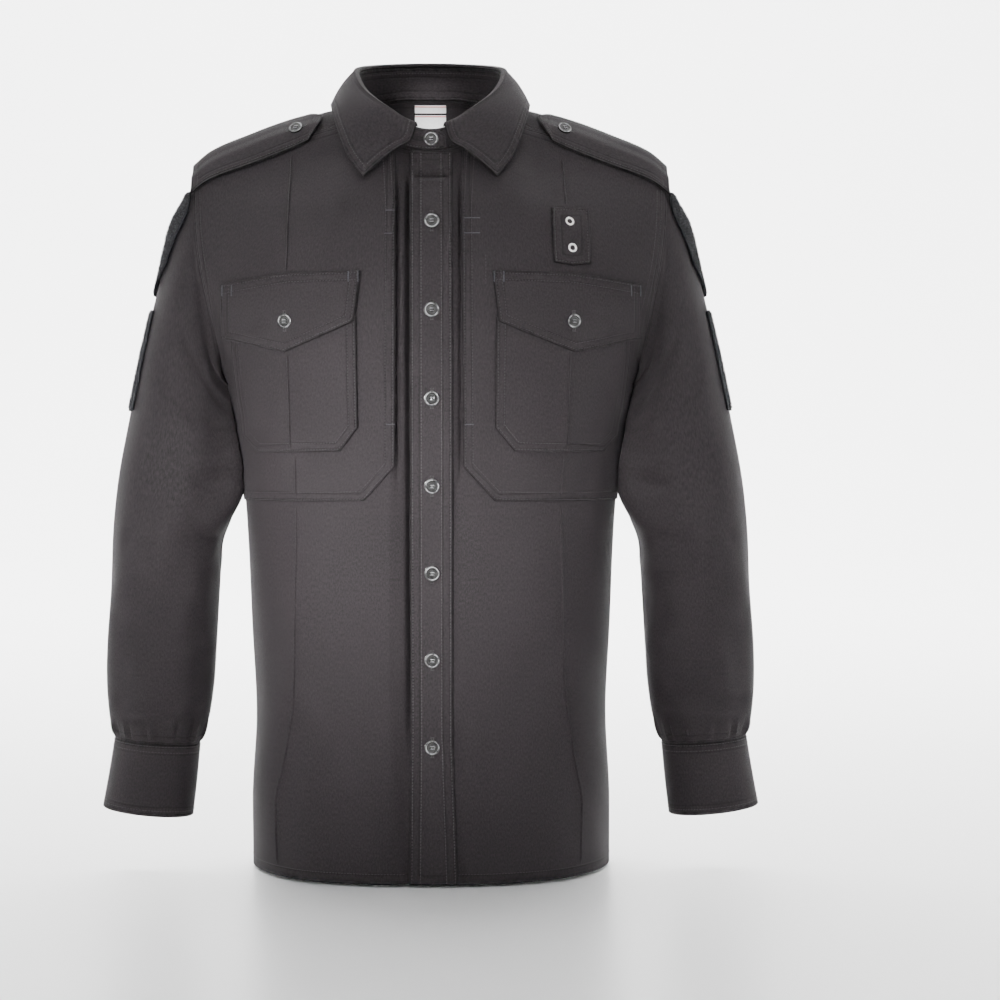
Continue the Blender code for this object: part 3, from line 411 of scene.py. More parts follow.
def cloth(name, outer, inner, finish, tube=False, keep=True, sewn=True):
    """A sheet of cloth between two grids of points, its edges rounded.

    Its UV maps are in metres: the grain, and how far in from a sewn edge a point lies."""
    rows, columns = outer.shape[:2]
    count = rows * columns
    if keep:
        way = outer - inner
        GRIDS[name] = (outer, way / np.linalg.norm(way, axis=-1, keepdims=True))
    index = np.arange(count).reshape(rows, columns)
    ring = outer[rows // 2]
    if tube:
        index = np.hstack([index, index[:, :1]])
        ring = np.vstack([ring, ring[:1]])
    u, v = np.meshgrid(run_of(ring), run_of(outer[:, columns // 2]))
    seam, along = np.full((rows, columns), FAR_IN), np.zeros((rows, columns))
    if keep and sewn:
        seam, along = from_edges(outer, tube)
    if tube:
        seam, along = (np.hstack([table, table[:, :1]]) for table in (seam, along))
    grain = np.stack([u, v, seam, along], axis=-1)

    def quads(table):
        corners = [table[:-1, :-1], table[:-1, 1:], table[1:, 1:], table[1:, :-1]]
        return np.stack(corners, axis=2).reshape(-1, 4, *table.shape[2:])

    faces, marks = quads(index), quads(grain)
    faces = np.concatenate([faces, faces[:, ::-1] + count])
    marks = np.concatenate([marks, marks[:, ::-1]])
    points = [outer.reshape(-1, 3), inner.reshape(-1, 3)]
    total = 2 * count
    rim, rim_marks = [], []
    if tube:
        loops = [[(0, c) for c in range(columns + 1)], [(rows - 1, c) for c in range(columns, -1, -1)]]
    else:
        out_and_up = [(0, c) for c in range(columns)] + [(r, columns - 1) for r in range(1, rows)]
        back = [(rows - 1, c) for c in range(columns - 2, -1, -1)]
        loops = [out_and_up + back + [(r, 0) for r in range(rows - 2, -1, -1)]]
    for loop in loops:
        edge = []
        for r, c in loop[:-1]:
            column_at = c % columns
            back_r = min(max(r, 1), rows - 2)
            back_c = column_at if tube else min(max(c, 1), columns - 2)
            out = outer[r, column_at] - outer[back_r, back_c]
            out = out / (np.linalg.norm(out) + 1e-12)
            wall = np.linalg.norm(outer[r, column_at] - inner[r, column_at])
            edge.append((outer[r, column_at] + inner[r, column_at]) / 2 + out * wall * RIM_ROUNDING)
        middle = total + np.arange(len(edge))
        total += len(edge)
        points.append(np.array(edge))
        for k in range(len(edge)):
            n = (k + 1) % len(edge)
            (r0, c0), (r1, c1) = loop[k], loop[k + 1]
            a, b = index[r0, c0], index[r1, c1]
            rim += [[b, a, middle[k], middle[n]], [middle[n], middle[k], a + count, b + count]]
            rim_marks += [[grain[r1, c1], grain[r0, c0], grain[r0, c0], grain[r1, c1]]] * 2
    faces = np.concatenate([faces, np.array(rim)])
    marks = np.concatenate([marks, np.array(rim_marks)])
    points = np.concatenate(points)
    a, b, c = (points[faces[0][i]] for i in range(3))
    if np.dot(np.cross(b - a, c - a), outer[0, 0] - inner[0, 0]) <= 0:
        faces, marks = faces[:, ::-1], marks[:, ::-1]
    piece = add_mesh(name, points, faces, finish)
    for label, values in (("grain", marks[..., :2]), ("seam", marks[..., 2:])):
        layer = piece.data.uv_layers.new(name=label)
        layer.data.foreach_set("uv", np.ascontiguousarray(values, dtype=np.float32).ravel())
    piece.data.set_sharp_from_angle(angle=SHARP_ANGLE)
    return piece


def add_mesh(name, points, faces, finish):
    mesh = bpy.data.meshes.new(name)
    mesh.from_pydata(np.asarray(points).tolist(), [], [list(f) for f in faces])
    mesh.materials.append(finish)
    mesh.shade_smooth()
    piece = bpy.data.objects.new(name, mesh)
    bpy.context.scene.collection.objects.link(piece)
    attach(piece, "root")
    return piece


def dress(piece, node):
    """The piece stands for a solid, whose part is hidden."""
    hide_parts(node)
    return piece


def body_sheet(name, grid, lift, wall, finish, side=FRONT):
    """A sheet over a grid of (x, z), its inner face lifted off the body."""
    inner, normals = on_body(side, *grid, lift)
    return cloth(name, inner + normals * wall, inner, finish)


# Shader groups and finishes

def node(tree, kind, place, **values):
    made = tree.nodes.new(kind)
    made.location = place
    for key, value in values.items():
        setattr(made, key, value)
    return made


def group(name, ins, outs):
    """A shader group with named inputs, and named outputs that are plain numbers."""
    tree = bpy.data.node_groups.new(name, "ShaderNodeTree")
    for label, kind, value in ins:
        socket = tree.interface.new_socket(name=label, in_out="INPUT", socket_type=kind)
        if value is not None:
            socket.default_value = value
    for label in outs:
        tree.interface.new_socket(name=label, in_out="OUTPUT", socket_type="NodeSocketFloat")
    return tree, node(tree, "NodeGroupInput", (-900, 0)), node(tree, "NodeGroupOutput", (900, 0))


def twill_weave():
    """Slanting ribs crossed by fine yarns, with thick and thin places."""
    ins = [("Grain", "NodeSocketVector", None), ("Rib", "NodeSocketFloat", 0.0008)]
    tree, start, end = group("twill weave", ins, ["Height", "Shade"])
    scale = node(tree, "ShaderNodeMath", (-700, -200), operation="DIVIDE")
    scale.inputs[0].default_value = 0.314
    tree.links.new(start.outputs["Rib"], scale.inputs[1])
    bands = {"wave_type": "BANDS", "bands_direction": "X", "wave_profile": "SIN"}
    ribs = node(tree, "ShaderNodeTexWave", (-300, 200), **bands)
    yarns = node(tree, "ShaderNodeTexWave", (-300, -100), **bands)
    for wave, turn, where in ((ribs, 63, 200), (yarns, 8, -100)):
        lay = node(tree, "ShaderNodeMapping", (-520, where))
        lay.inputs["Rotation"].default_value = (0, 0, math.radians(turn))
        tree.links.new(start.outputs["Grain"], lay.inputs["Vector"])
        tree.links.new(lay.outputs["Vector"], wave.inputs["Vector"])
        tree.links.new(scale.outputs[0], wave.inputs["Scale"])
        wave.inputs["Distortion"].default_value = 0.7
        wave.inputs["Detail Scale"].default_value = 0.4
    stretch = node(tree, "ShaderNodeMapping", (-520, -380))
    stretch.inputs["Scale"].default_value = (1.5, 0.8, 1)
    tree.links.new(start.outputs["Grain"], stretch.inputs["Vector"])
    slubs = node(tree, "ShaderNodeTexNoise", (-300, -380))
    slubs.inputs["Scale"].default_value = 430
    slubs.inputs["Detail"].default_value = 3
    slubs.inputs["Roughness"].default_value = 0.7
    tree.links.new(stretch.outputs["Vector"], slubs.inputs["Vector"])
    both = node(tree, "ShaderNodeMath", (-60, 100), operation="MULTIPLY_ADD")
    both.inputs[1].default_value = 0.35
    tree.links.new(yarns.outputs["Fac"], both.inputs[0])
    tree.links.new(ribs.outputs["Fac"], both.inputs[2])
    rough = node(tree, "ShaderNodeMath", (160, 60), operation="MULTIPLY_ADD")
    rough.inputs[1].default_value = 1.1
    tree.links.new(slubs.outputs["Fac"], rough.inputs[0])
    tree.links.new(both.outputs[0], rough.inputs[2])
    tree.links.new(rough.outputs[0], end.inputs["Height"])
    uneven = node(tree, "ShaderNodeMapRange", (-60, -260))
    uneven.inputs["From Min"].default_value = 0.32
    uneven.inputs["From Max"].default_value = 0.68
    tree.links.new(slubs.outputs["Fac"], uneven.inputs["Value"])
    shade = node(tree, "ShaderNodeMath", (400, -60), operation="MULTIPLY_ADD")
    shade.inputs[1].default_value = 0.26
    scaled = node(tree, "ShaderNodeMath", (160, -260), operation="MULTIPLY")
    scaled.inputs[1].default_value = 0.65
    tree.links.new(uneven.outputs["Result"], scaled.inputs[0])
    tree.links.new(both.outputs[0], shade.inputs[0])
    tree.links.new(scaled.outputs[0], shade.inputs[2])
    tree.links.new(shade.outputs[0], end.inputs["Shade"])
    return tree


def cloth_wear():
    """Soft uneven places of handled cloth: broad cloudiness and fine lint."""
    ins = [("Place", "NodeSocketVector", None), ("Lint", "NodeSocketFloat", 0.4)]
    tree, start, end = group("cloth wear", ins, ["Cloud", "Lint"])
    cloud = node(tree, "ShaderNodeTexNoise", (-400, 160))
    cloud.inputs["Scale"].default_value = 9
    cloud.inputs["Detail"].default_value = 4
    lint = node(tree, "ShaderNodeTexNoise", (-400, -160))
    lint.inputs["Scale"].default_value = 1400
    lint.inputs["Detail"].default_value = 1
    for made in (cloud, lint):
        tree.links.new(start.outputs["Place"], made.inputs["Vector"])
    specks = node(tree, "ShaderNodeMapRange", (-160, -160))
    specks.inputs["From Min"].default_value = 0.66
    specks.inputs["From Max"].default_value = 0.80
    tree.links.new(lint.outputs["Fac"], specks.inputs["Value"])
    tree.links.new(start.outputs["Lint"], specks.inputs["To Max"])
    tree.links.new(cloud.outputs["Fac"], end.inputs["Cloud"])
    tree.links.new(specks.outputs["Result"], end.inputs["Lint"])
    return tree


def seam_pucker():
    """The edge of a sewn piece: stitch rows set into the cloth, a rolled edge, and cloth drawn up into small
    ripples. Its Shade output is painted shade: darkest along the very edge, and darker in the stitch grooves
    and in the ripples' troughs.
    """
    tree, start, end = group("seam pucker and painted shade", [("Seam", "NodeSocketVector", None)], ["Height", "Shade"])
    parts = node(tree, "ShaderNodeSeparateXYZ", (-700, 200))
    tree.links.new(start.outputs["Seam"], parts.inputs[0])
    reach = node(tree, "ShaderNodeMapRange", (-500, 260))
    reach.inputs["From Max"].default_value = 0.016
    tree.links.new(parts.outputs["X"], reach.inputs["Value"])
    # The ramp's stops give a rolled edge and two stitch grooves. As colour its low stops are painted shade: a
    # dark line on the very edge where a contact shadow falls, and darker grooves.
    rows = node(tree, "ShaderNodeValToRGB", (-260, 260))
    rows.color_ramp.interpolation = "EASE"
    stops = [(0.0, 0.0), (0.06, 0.84), (0.14, 0.26), (0.23, 0.88),
             (0.44, 0.88), (0.55, 0.36), (0.66, 0.70), (1.0, 0.62)]
    for number, (place, value) in enumerate(stops):
        stop = rows.color_ramp.elements[number] if number < 2 else rows.color_ramp.elements.new(place)
        stop.position = place
        stop.color = (value, value, value, 1)
    tree.links.new(reach.outputs["Result"], rows.inputs["Fac"])
    stretch = node(tree, "ShaderNodeMapping", (-700, -120))
    stretch.inputs["Scale"].default_value = (45, 165, 1)
    tree.links.new(start.outputs["Seam"], stretch.inputs["Vector"])
    ripple = node(tree, "ShaderNodeTexNoise", (-500, -120))
    ripple.inputs["Scale"].default_value = 1.0
    ripple.inputs["Detail"].default_value = 1.5
    tree.links.new(stretch.outputs["Vector"], ripple.inputs["Vector"])
    near = node(tree, "ShaderNodeMapRange", (-500, 20), interpolation_type="SMOOTHSTEP")
    near.inputs["From Max"].default_value = 0.013
    near.inputs["To Min"].default_value = 1.6
    near.inputs["To Max"].default_value = 0.0
    tree.links.new(parts.outputs["X"], near.inputs["Value"])
    level = node(tree, "ShaderNodeMath", (-260, -120), operation="SUBTRACT")
    level.inputs[1].default_value = 0.5
    tree.links.new(ripple.outputs["Fac"], level.inputs[0])
    # Ripples and rows together: the bump's Height, and the same value as Shade, which paints the troughs
    # darker.
    drawn = node(tree, "ShaderNodeMath", (-60, 0), operation="MULTIPLY_ADD")
    tree.links.new(level.outputs[0], drawn.inputs[0])
    tree.links.new(near.outputs["Result"], drawn.inputs[1])
    tree.links.new(rows.outputs["Color"], drawn.inputs[2])
    tree.links.new(drawn.outputs[0], end.inputs["Height"])
    tree.links.new(drawn.outputs[0], end.inputs["Shade"])
    return tree


WEAVE = twill_weave()
WEAR = cloth_wear()
PUCKER = seam_pucker()


def place_group(tree, used, where):
    made = node(tree, "ShaderNodeGroup", where)
    made.node_tree = used
    return made


def blank_finish(name):
    made = bpy.data.materials.new(name)
    made.use_nodes = True
    return made, made.node_tree, made.node_tree.nodes["Principled BSDF"]


def mix(tree, where, mask, low, high):
    """A colour that goes from one to another by a mask."""
    made = node(tree, "ShaderNodeMix", where, data_type="RGBA")
    tree.links.new(mask, made.inputs[0])
    for socket, colour in ((made.inputs[6], low), (made.inputs[7], high)):
        if isinstance(colour, tuple):
            socket.default_value = (*colour, 1)
        else:
            tree.links.new(colour, socket)
    return made.outputs[2]


def woven(name, dark, light, rib=0.0006, roughness=0.72, height=0.00020, sheen=0.04, lint=0.16):
    """A woven finish that follows the cloth's grain."""
    made, tree, shader = blank_finish(name)
    grain = node(tree, "ShaderNodeUVMap", (-1300, 200), uv_map="grain")
    place = node(tree, "ShaderNodeTexCoord", (-1300, -200))
    weave = place_group(tree, WEAVE, (-1000, 200))
    weave.inputs["Rib"].default_value = rib
    wear = place_group(tree, WEAR, (-1000, -200))
    wear.inputs["Lint"].default_value = lint
    tree.links.new(grain.outputs["UV"], weave.inputs["Grain"])
    tree.links.new(place.outputs["Object"], wear.inputs["Place"])
    base = mix(tree, (-700, 200), weave.outputs["Shade"], dark, light)
    worn = node(tree, "ShaderNodeMapRange", (-700, -100))
    worn.inputs["To Min"].default_value = 0.84
    worn.inputs["To Max"].default_value = 1.16
    tree.links.new(wear.outputs["Cloud"], worn.inputs["Value"])
    shaded = node(tree, "ShaderNodeVectorMath", (-450, 150), operation="SCALE")
    tree.links.new(base, shaded.inputs[0])
    edge = node(tree, "ShaderNodeUVMap", (-1300, -500), uv_map="seam")
    pucker = place_group(tree, PUCKER, (-1000, -500))
    tree.links.new(edge.outputs["UV"], pucker.inputs["Seam"])
    # Painted shade along sewn edges: the seam's Shade darkens the colour on the edge line, in the stitch
    # grooves and in the ripple troughs.
    painted_seam_shade = node(tree, "ShaderNodeMapRange", (-700, -500))
    painted_seam_shade.inputs["From Min"].default_value = 0.05
    painted_seam_shade.inputs["From Max"].default_value = 0.62
    painted_seam_shade.inputs["To Min"].default_value = 0.25
    tree.links.new(pucker.outputs["Shade"], painted_seam_shade.inputs["Value"])
    both = node(tree, "ShaderNodeMath", (-560, -60), operation="MULTIPLY")
    tree.links.new(worn.outputs["Result"], both.inputs[0])
    tree.links.new(painted_seam_shade.outputs["Result"], both.inputs[1])
    tree.links.new(both.outputs[0], shaded.inputs["Scale"])
    linted = mix(tree, (-250, 100), wear.outputs["Lint"], shaded.outputs[0], tuple(3.2 * c for c in light))
    tree.links.new(linted, shader.inputs["Base Color"])
    dull = node(tree, "ShaderNodeMapRange", (-450, -260))
    dull.inputs["To Min"].default_value = roughness - 0.08
    dull.inputs["To Max"].default_value = roughness + 0.08
    tree.links.new(weave.outputs["Shade"], dull.inputs["Value"])
    tree.links.new(dull.outputs["Result"], shader.inputs["Roughness"])
    bump = node(tree, "ShaderNodeBump", (-250, -420))
    bump.inputs["Strength"].default_value = 0.6
    bump.inputs["Distance"].default_value = height
    tree.links.new(weave.outputs["Height"], bump.inputs["Height"])
    drawn = node(tree, "ShaderNodeBump", (-450, -560))
    drawn.inputs["Strength"].default_value = 0.8
    drawn.inputs["Distance"].default_value = 0.0008
    tree.links.new(pucker.outputs["Height"], drawn.inputs["Height"])
    tree.links.new(drawn.outputs["Normal"], bump.inputs["Normal"])
    tree.links.new(bump.outputs["Normal"], shader.inputs["Normal"])
    shader.inputs["Specular IOR Level"].default_value = 0.18
    shader.inputs["Sheen Weight"].default_value = sheen
    shader.inputs["Sheen Roughness"].default_value = 0.45
    shader.inputs["Sheen Tint"].default_value = (0.86, 0.80, 0.84, 1)
    return made


def speckled(name, dark, light, scale, low, high, roughness, height, metallic=0.0, coat=0.0):
    """A finish of fine specks on Object coordinates, such as thread, nap, resin or nickel."""
    made, tree, shader = blank_finish(name)
    place = node(tree, "ShaderNodeTexCoord", (-1000, 0))
    grain = node(tree, "ShaderNodeTexNoise", (-760, 100))
    grain.inputs["Scale"].default_value = scale
    grain.inputs["Detail"].default_value = 3
    tree.links.new(place.outputs["Object"], grain.inputs["Vector"])
    mask = node(tree, "ShaderNodeMapRange", (-540, 100))
    mask.inputs["From Min"].default_value = low
    mask.inputs["From Max"].default_value = high
    tree.links.new(grain.outputs["Fac"], mask.inputs["Value"])
    tree.links.new(mix(tree, (-300, 150), mask.outputs["Result"], dark, light), shader.inputs["Base Color"])
    rough = node(tree, "ShaderNodeMapRange", (-300, -100))
    rough.inputs["To Min"].default_value = roughness * 0.85
    rough.inputs["To Max"].default_value = min(roughness * 1.2, 1)
    tree.links.new(grain.outputs["Fac"], rough.inputs["Value"])
    tree.links.new(rough.outputs["Result"], shader.inputs["Roughness"])
    bump = node(tree, "ShaderNodeBump", (-300, -320))
    bump.inputs["Distance"].default_value = height
    bump.inputs["Strength"].default_value = 0.5
    tree.links.new(grain.outputs["Fac"], bump.inputs["Height"])
    tree.links.new(bump.outputs["Normal"], shader.inputs["Normal"])
    shader.inputs["Metallic"].default_value = metallic
    if coat:
        shader.inputs["Coat Weight"].default_value = coat
        shader.inputs["Coat Roughness"].default_value = 0.08
    return made


TWILL = woven("black twill", (0.0045, 0.0036, 0.0040), (0.0360, 0.0300, 0.0328))
TWILL_DOUBLE = woven("black twill doubled", (0.0045, 0.0036, 0.0040), (0.0375, 0.0313, 0.0342))
LABEL = woven("white label satin", (0.84, 0.83, 0.83), (0.95, 0.94, 0.94),
              rib=0.0005, roughness=0.55, sheen=0, lint=0)
LABEL_EDGE = woven("red label edge", (0.40, 0.05, 0.05), (0.60, 0.10, 0.09),
                   rib=0.0005, roughness=0.6, sheen=0, lint=0)
THREAD = speckled("black sewing thread", (0.008, 0.007, 0.008), (0.036, 0.032, 0.034),
                  1700, 0.35, 0.65, 0.62, 0.0001)
PALE_THREAD = speckled("placket thread", (0.012, 0.011, 0.012), (0.085, 0.079, 0.082),
                       1700, 0.35, 0.65, 0.6, 0.0001)
TACK_THREAD = speckled("bartack thread", (0.016, 0.018, 0.024), (0.072, 0.078, 0.096),
                       2600, 0.3, 0.7, 0.5, 0.0001)
BUTTON_THREAD = speckled("button thread", (0.100, 0.100, 0.105), (0.340, 0.340, 0.350),
                         2600, 0.3, 0.7, 0.5, 0.0001)
NAP = speckled("loop nap", (0.006, 0.006, 0.007), (0.036, 0.036, 0.040), 1500, 0.42, 0.68, 0.92, 0.0005)
NAP_LOOP = speckled("loop yarn", (0.020, 0.020, 0.022), (0.120, 0.120, 0.130), 700, 0.35, 0.75, 0.70, 0.0001)
SELVEDGE = speckled("loop tape selvedge", (0.016, 0.016, 0.018), (0.080, 0.082, 0.088),
                    1800, 0.35, 0.7, 0.8, 0.0002)
for dull_finish in (NAP, NAP_LOOP, SELVEDGE):
    dull_finish.node_tree.nodes["Principled BSDF"].inputs["Specular IOR Level"].default_value = 0.12
RESIN = speckled("black button resin", (0.004, 0.004, 0.004), (0.010, 0.010, 0.010),
                 260, 0.3, 0.8, 0.22, 0.00003, coat=0.3)
# Painted highlight: the pale, patchy ring on the button's rim stands in for the reflection of the bright
# room. The resin itself is black all over.
RESIN_RIM_PAINTED_HIGHLIGHT = speckled("button rim painted highlight", (0.030, 0.030, 0.031), (0.260, 0.260, 0.266),
                     170, 0.42, 0.58, 0.12, 0.00003, coat=1.0)
NICKEL = speckled("nickel plate", (0.52, 0.51, 0.50), (0.74, 0.73, 0.71),
                  900, 0.3, 0.7, 0.24, 0.00003, metallic=1.0)


# Neck and shoulder lines

def torso_height(x, y):
    """The height at which the body's surface passes over a point seen from above."""
    side = BACK if y > 0 else FRONT
    high = float(ridge_z(x))
    low = high - 0.16
    for _ in range(30):
        middle = (low + high) / 2
        if float(squared_depth(side, x, middle)) > y * y:
            low = middle
        else:
            high = middle
    return middle


def ring_point(angle, half, front, back):
    x, y = half * math.sin(angle), -math.cos(angle)
    return x, y * (front if y < 0 else back)


def neckline(angle):
    """A point (x, z) of the neck's edge, by its angle from the centre front."""
    if math.cos(angle) > 0:
        share = 1 - math.cos(angle) ** (2 * NECK_CURVE)
        return NECK_HALF_WIDTH * math.sin(angle), NECK_FRONT_Z + (NECK_SIDE_Z - NECK_FRONT_Z) * share
    x, y = ring_point(angle, NECK_HALF_WIDTH, 0, NECK_BACK)
    return x, torso_height(x, y)


def neck_corner():
    low, high = math.radians(30), QUARTER
    for _ in range(30):
        middle = (low + high) / 2
        x, z = neckline(middle)
        if z > front_seam_z(x):
            high = middle
        else:
            low = middle
    return middle


def armhole_height(drop):
    z = -0.08
    for _ in range(20):
        z = float(ridge_z(armhole_x(z))) - drop
    return z


NECK_CORNER = neck_corner()
ARMHOLE_TOP = armhole_height(SEAM_DROP)
ARMHOLE_PEAK = armhole_height(0)
CHEST_DEPTH = 0.12


def side_path(low_z, low_rows, armhole_rows, top_z, gap=SEAM_GAP / 2):
    """The side seam and then the armhole, upwards from a height, as (x, z)."""
    seam_z = np.linspace(low_z, ARMPIT_Z, low_rows, endpoint=False)
    arm_z = ARMPIT_Z + (top_z - ARMPIT_Z) * np.linspace(0, 1, armhole_rows + 1) ** 1.5
    seam_angle = QUARTER - gap / CHEST_DEPTH
    seam_x = at_angle(seam_angle, seam_z)
    arm_x = np.minimum(armhole_x(arm_z) - gap, at_angle(seam_angle, arm_z))
    return np.stack([np.concatenate([seam_x, arm_x]), np.concatenate([seam_z, arm_z])], axis=1)


def across(start, end, columns):
    angle = np.linspace(side_angle(start[0], start[1]), side_angle(end[0], end[1]), columns + 1)
    z = np.linspace(start[1], end[1], columns + 1)
    return np.stack([at_angle(angle, z), z], axis=1)


def shoulder_seam(columns):
    x = np.linspace(neckline(NECK_CORNER)[0], armhole_x(ARMHOLE_TOP), columns + 1)
    return np.stack([x, front_seam_z(x)], axis=1)


def neck_path(start_x, count):
    angles = np.linspace(math.asin(start_x / NECK_HALF_WIDTH), NECK_CORNER, count + 1)
    return np.array([neckline(a) for a in angles])


def mirror_grid(grid, sign):
    return (grid[0] * sign, grid[1])


# The cloth pieces

PANEL_COLUMNS = 140
COVERED_X = 0.040
GUTTER_DEPTH = 0.0046
GUTTER_WIDTH = 0.0018
GUTTER_INSET = 0.0014
FREE_EDGE_DEPTH = 0.0085
FREE_EDGE_WIDTH = 0.0028


def crowded(grid, columns, crowding=2.2):
    """A grid of (x, z) read again with its columns closer together towards its first edge."""
    at = np.linspace(0, 1, columns + 1) ** crowding * (grid[0].shape[1] - 1)
    return tuple(np.array([np.interp(at, np.arange(len(row)), row) for row in table]) for table in grid)


def front_panel(name, sign, edge_x, under):
    columns = 11 * FINE
    high = neck_path(edge_x, 6 * FINE)
    corners = [(edge_x, HEM_Z), (edge_x, ARMPIT_Z), (edge_x, CHEST_TOP_Z), tuple(high[0])]
    left = np.concatenate([path(corners, [10 * FINE, 6 * FINE, 4 * FINE])[:-1], high])
    right = side_path(HEM_Z, 10 * FINE, 16 * FINE, ARMHOLE_TOP)
    seam = shoulder_seam(columns)
    seam[:, 1] -= 0.0008
    right[-1] = seam[-1] = (seam[-1, 0] - SEAM_GAP / 2, seam[-1, 1])
    left[-1] = seam[0]
    grid = crowded(patch(across(left[0], right[0], columns), seam, left, right), PANEL_COLUMNS)
    x, z = grid
    covered = np.clip((x - COVERED_X) / 0.015, 0, 1) * np.clip((z - OVERLAY_LOW_Z) / 0.02, 0, 1)
    lift = PANEL_LIFT - COVERED_STEP * covered
    # The gutter along the chest overlay's edge
    overlay_edge = OVERLAY_EDGE_X["right" if under else "left"]
    run = ease((-0.060 - z) / 0.03) * ease((z - OVERLAY_LOW_Z) / 0.05)
    lift -= GUTTER_DEPTH * np.exp(-(((x - overlay_edge + GUTTER_INSET) / GUTTER_WIDTH) ** 2)) * run
    if under:
        lift -= UNDER_STEP * np.clip((COVERED_X - x) / 0.014, 0, 1) * (x < COVERED_X)
        # The deep fold at the placket's free edge
        run = ease((-0.062 - z) / 0.03) * ease((z + 0.70) / 0.25)
        lift -= FREE_EDGE_DEPTH * np.exp(-(((x - PLACKET_RIGHT_X) / FREE_EDGE_WIDTH) ** 2)) * run
    return body_sheet(name, mirror_grid(grid, sign), lift, CLOTH, TWILL)


def overlay_edge_corners(end):
    """The overlay's inner edge, upwards as (x, z)."""
    edge_x = OVERLAY_EDGE_X[end]
    chamfer = [(OVERLAY_CHAMFER_X[end], OVERLAY_LOW_Z), (edge_x + 0.001, OVERLAY_LOW_Z + 0.033)]
    return [*chamfer, (edge_x, CHEST_TOP_Z)]


def chest_overlay(name, end, sign):
    columns, edge_top = 10 * FINE, neck_path(OVERLAY_EDGE_X[end], 4 * FINE)
    corners = [*overlay_edge_corners(end), tuple(edge_top[0])]
    left = np.concatenate([path(corners, [2 * FINE, 8 * FINE, 4 * FINE])[:-1], edge_top])
    right = side_path(OVERLAY_LOW_Z - 0.005, 6 * FINE, 12 * FINE, ARMHOLE_TOP, gap=0.0002)
    seam = shoulder_seam(columns)
    seam[:, 1] -= 0.0006
    seam[-1] = right[-1] = (seam[-1, 0] - 0.0002, seam[-1, 1])
    left[-1] = seam[0]
    grid = patch(across(left[0], right[0], columns), seam, left, right)
    return body_sheet(name, mirror_grid(grid, sign), OVERLAY_LIFT, CLOTH, TWILL)


def back_panel(name):
    rows_right = side_path(HEM_Z, 10 * FINE, 7 * FINE, BACK_SEAM_Z)
    columns, rest_columns = 8 * FINE, 5 * FINE
    xs, zs, lifts = [], [], []
    for side_x, z in rows_right:
        z = min(z, BACK_SEAM_Z - SEAM_GAP / 2)
        edge = float(smooth(BACK_PLEAT, "edge_x", z))
        under = edge + PLEAT_STEP_WIDTH
        rest = np.linspace(float(side_angle(under, z)), float(side_angle(side_x, z)), rest_columns + 1)
        half_x = [*np.linspace(0, edge, columns + 1), *at_angle(rest, z)]
        half_lift = [0] * (columns + 1) + [*(-PLEAT_STEP * (1 - ease(np.linspace(0, 1, rest_columns + 1))))]
        xs.append([-v for v in half_x[:0:-1]] + half_x)
        lifts.append(half_lift[:0:-1] + half_lift)
        zs.append([z] * len(xs[-1]))
    grid = (np.array(xs), np.array(zs))
    return body_sheet(name, grid, PANEL_LIFT + np.array(lifts), CLOTH, TWILL, side=BACK)


def roll_angle(x, z):
    """How far over the shoulder a point lies: 0 on the ridge, a quarter turn where the roll ends."""
    drop = (ridge_z(x) - z) / roll(x)
    return np.where(drop < 1, np.arccos(np.clip(1 - drop, -1, 1)), QUARTER + drop - 1)


def rolled(x, turn):
    """The (x, z) of a point by how far over the shoulder it lies."""
    turn = abs(np.asarray(turn, float))
    drop = np.where(turn < QUARTER, 1 - np.cos(turn), 1 + turn - QUARTER)
    return x, ridge_z(x) - drop * roll(x)


def over_shoulder(x, turn, lift, sign=1):
    """Points by x and by how far over the shoulder they lie, and their normals."""
    x, turn = np.broadcast_arrays(np.asarray(x, float), np.asarray(turn, float))
    points, normals = body(np.where(turn < 0, FRONT, BACK), x, rolled(x, turn)[1])
    flip = np.array([sign, 1, 1])
    return (points + normals * np.asarray(lift)[..., None]) * flip, normals * flip


def yoke(name):
    arm, back, depth = 8 * FINE, 6 * FINE, 5 * FINE
    half = []
    front_turn = float(roll_angle(armhole_x(ARMHOLE_TOP), ARMHOLE_TOP))
    back_turn = float(roll_angle(armhole_x(BACK_SEAM_Z), BACK_SEAM_Z))
    for i in range(arm + back + 1):
        if i <= arm:
            turn = -front_turn + (front_turn + back_turn) * i / arm
            x = 0.236
            for _ in range(8):
                x = float(armhole_x(rolled(x, turn)[1])) - SEAM_GAP / 2
            outer = (x, turn)
        else:
            x = (float(armhole_x(BACK_SEAM_Z)) - SEAM_GAP / 2) * (1 - (i - arm) / back)
            outer = (x, float(roll_angle(x, BACK_SEAM_Z + SEAM_GAP / 2)))
        angle = NECK_CORNER + (math.pi - NECK_CORNER) * i / (arm + back)
        x, z = neckline(angle)
        inner = (x, (-1 if angle < QUARTER else 1) * float(roll_angle(x, z)))
        half.append([(inner[0] + (outer[0] - inner[0]) * s, inner[1] + (outer[1] - inner[1]) * s)
                     for s in np.linspace(0, 1, depth + 1)])
    seam = shoulder_seam(depth)
    for k in range(depth + 1):
        x = float(seam[k, 0]) - (SEAM_GAP / 2 if k == depth else 0)
        half[0][k] = (x, -float(roll_angle(x, float(seam[k, 1]) + SEAM_GAP / 2)))
    half = np.array(half)
    other = half[::-1][1:].copy()
    other[..., 0] *= -1
    strip = np.concatenate([half, other])
    points, normals = over_shoulder(strip[..., 0], strip[..., 1], np.zeros(strip.shape[:2]))
    return cloth(name, points, points - normals * CLOTH, TWILL)


def fold_height(y):
    return smooth(COLLAR_FOLD, "z", y, key="y")


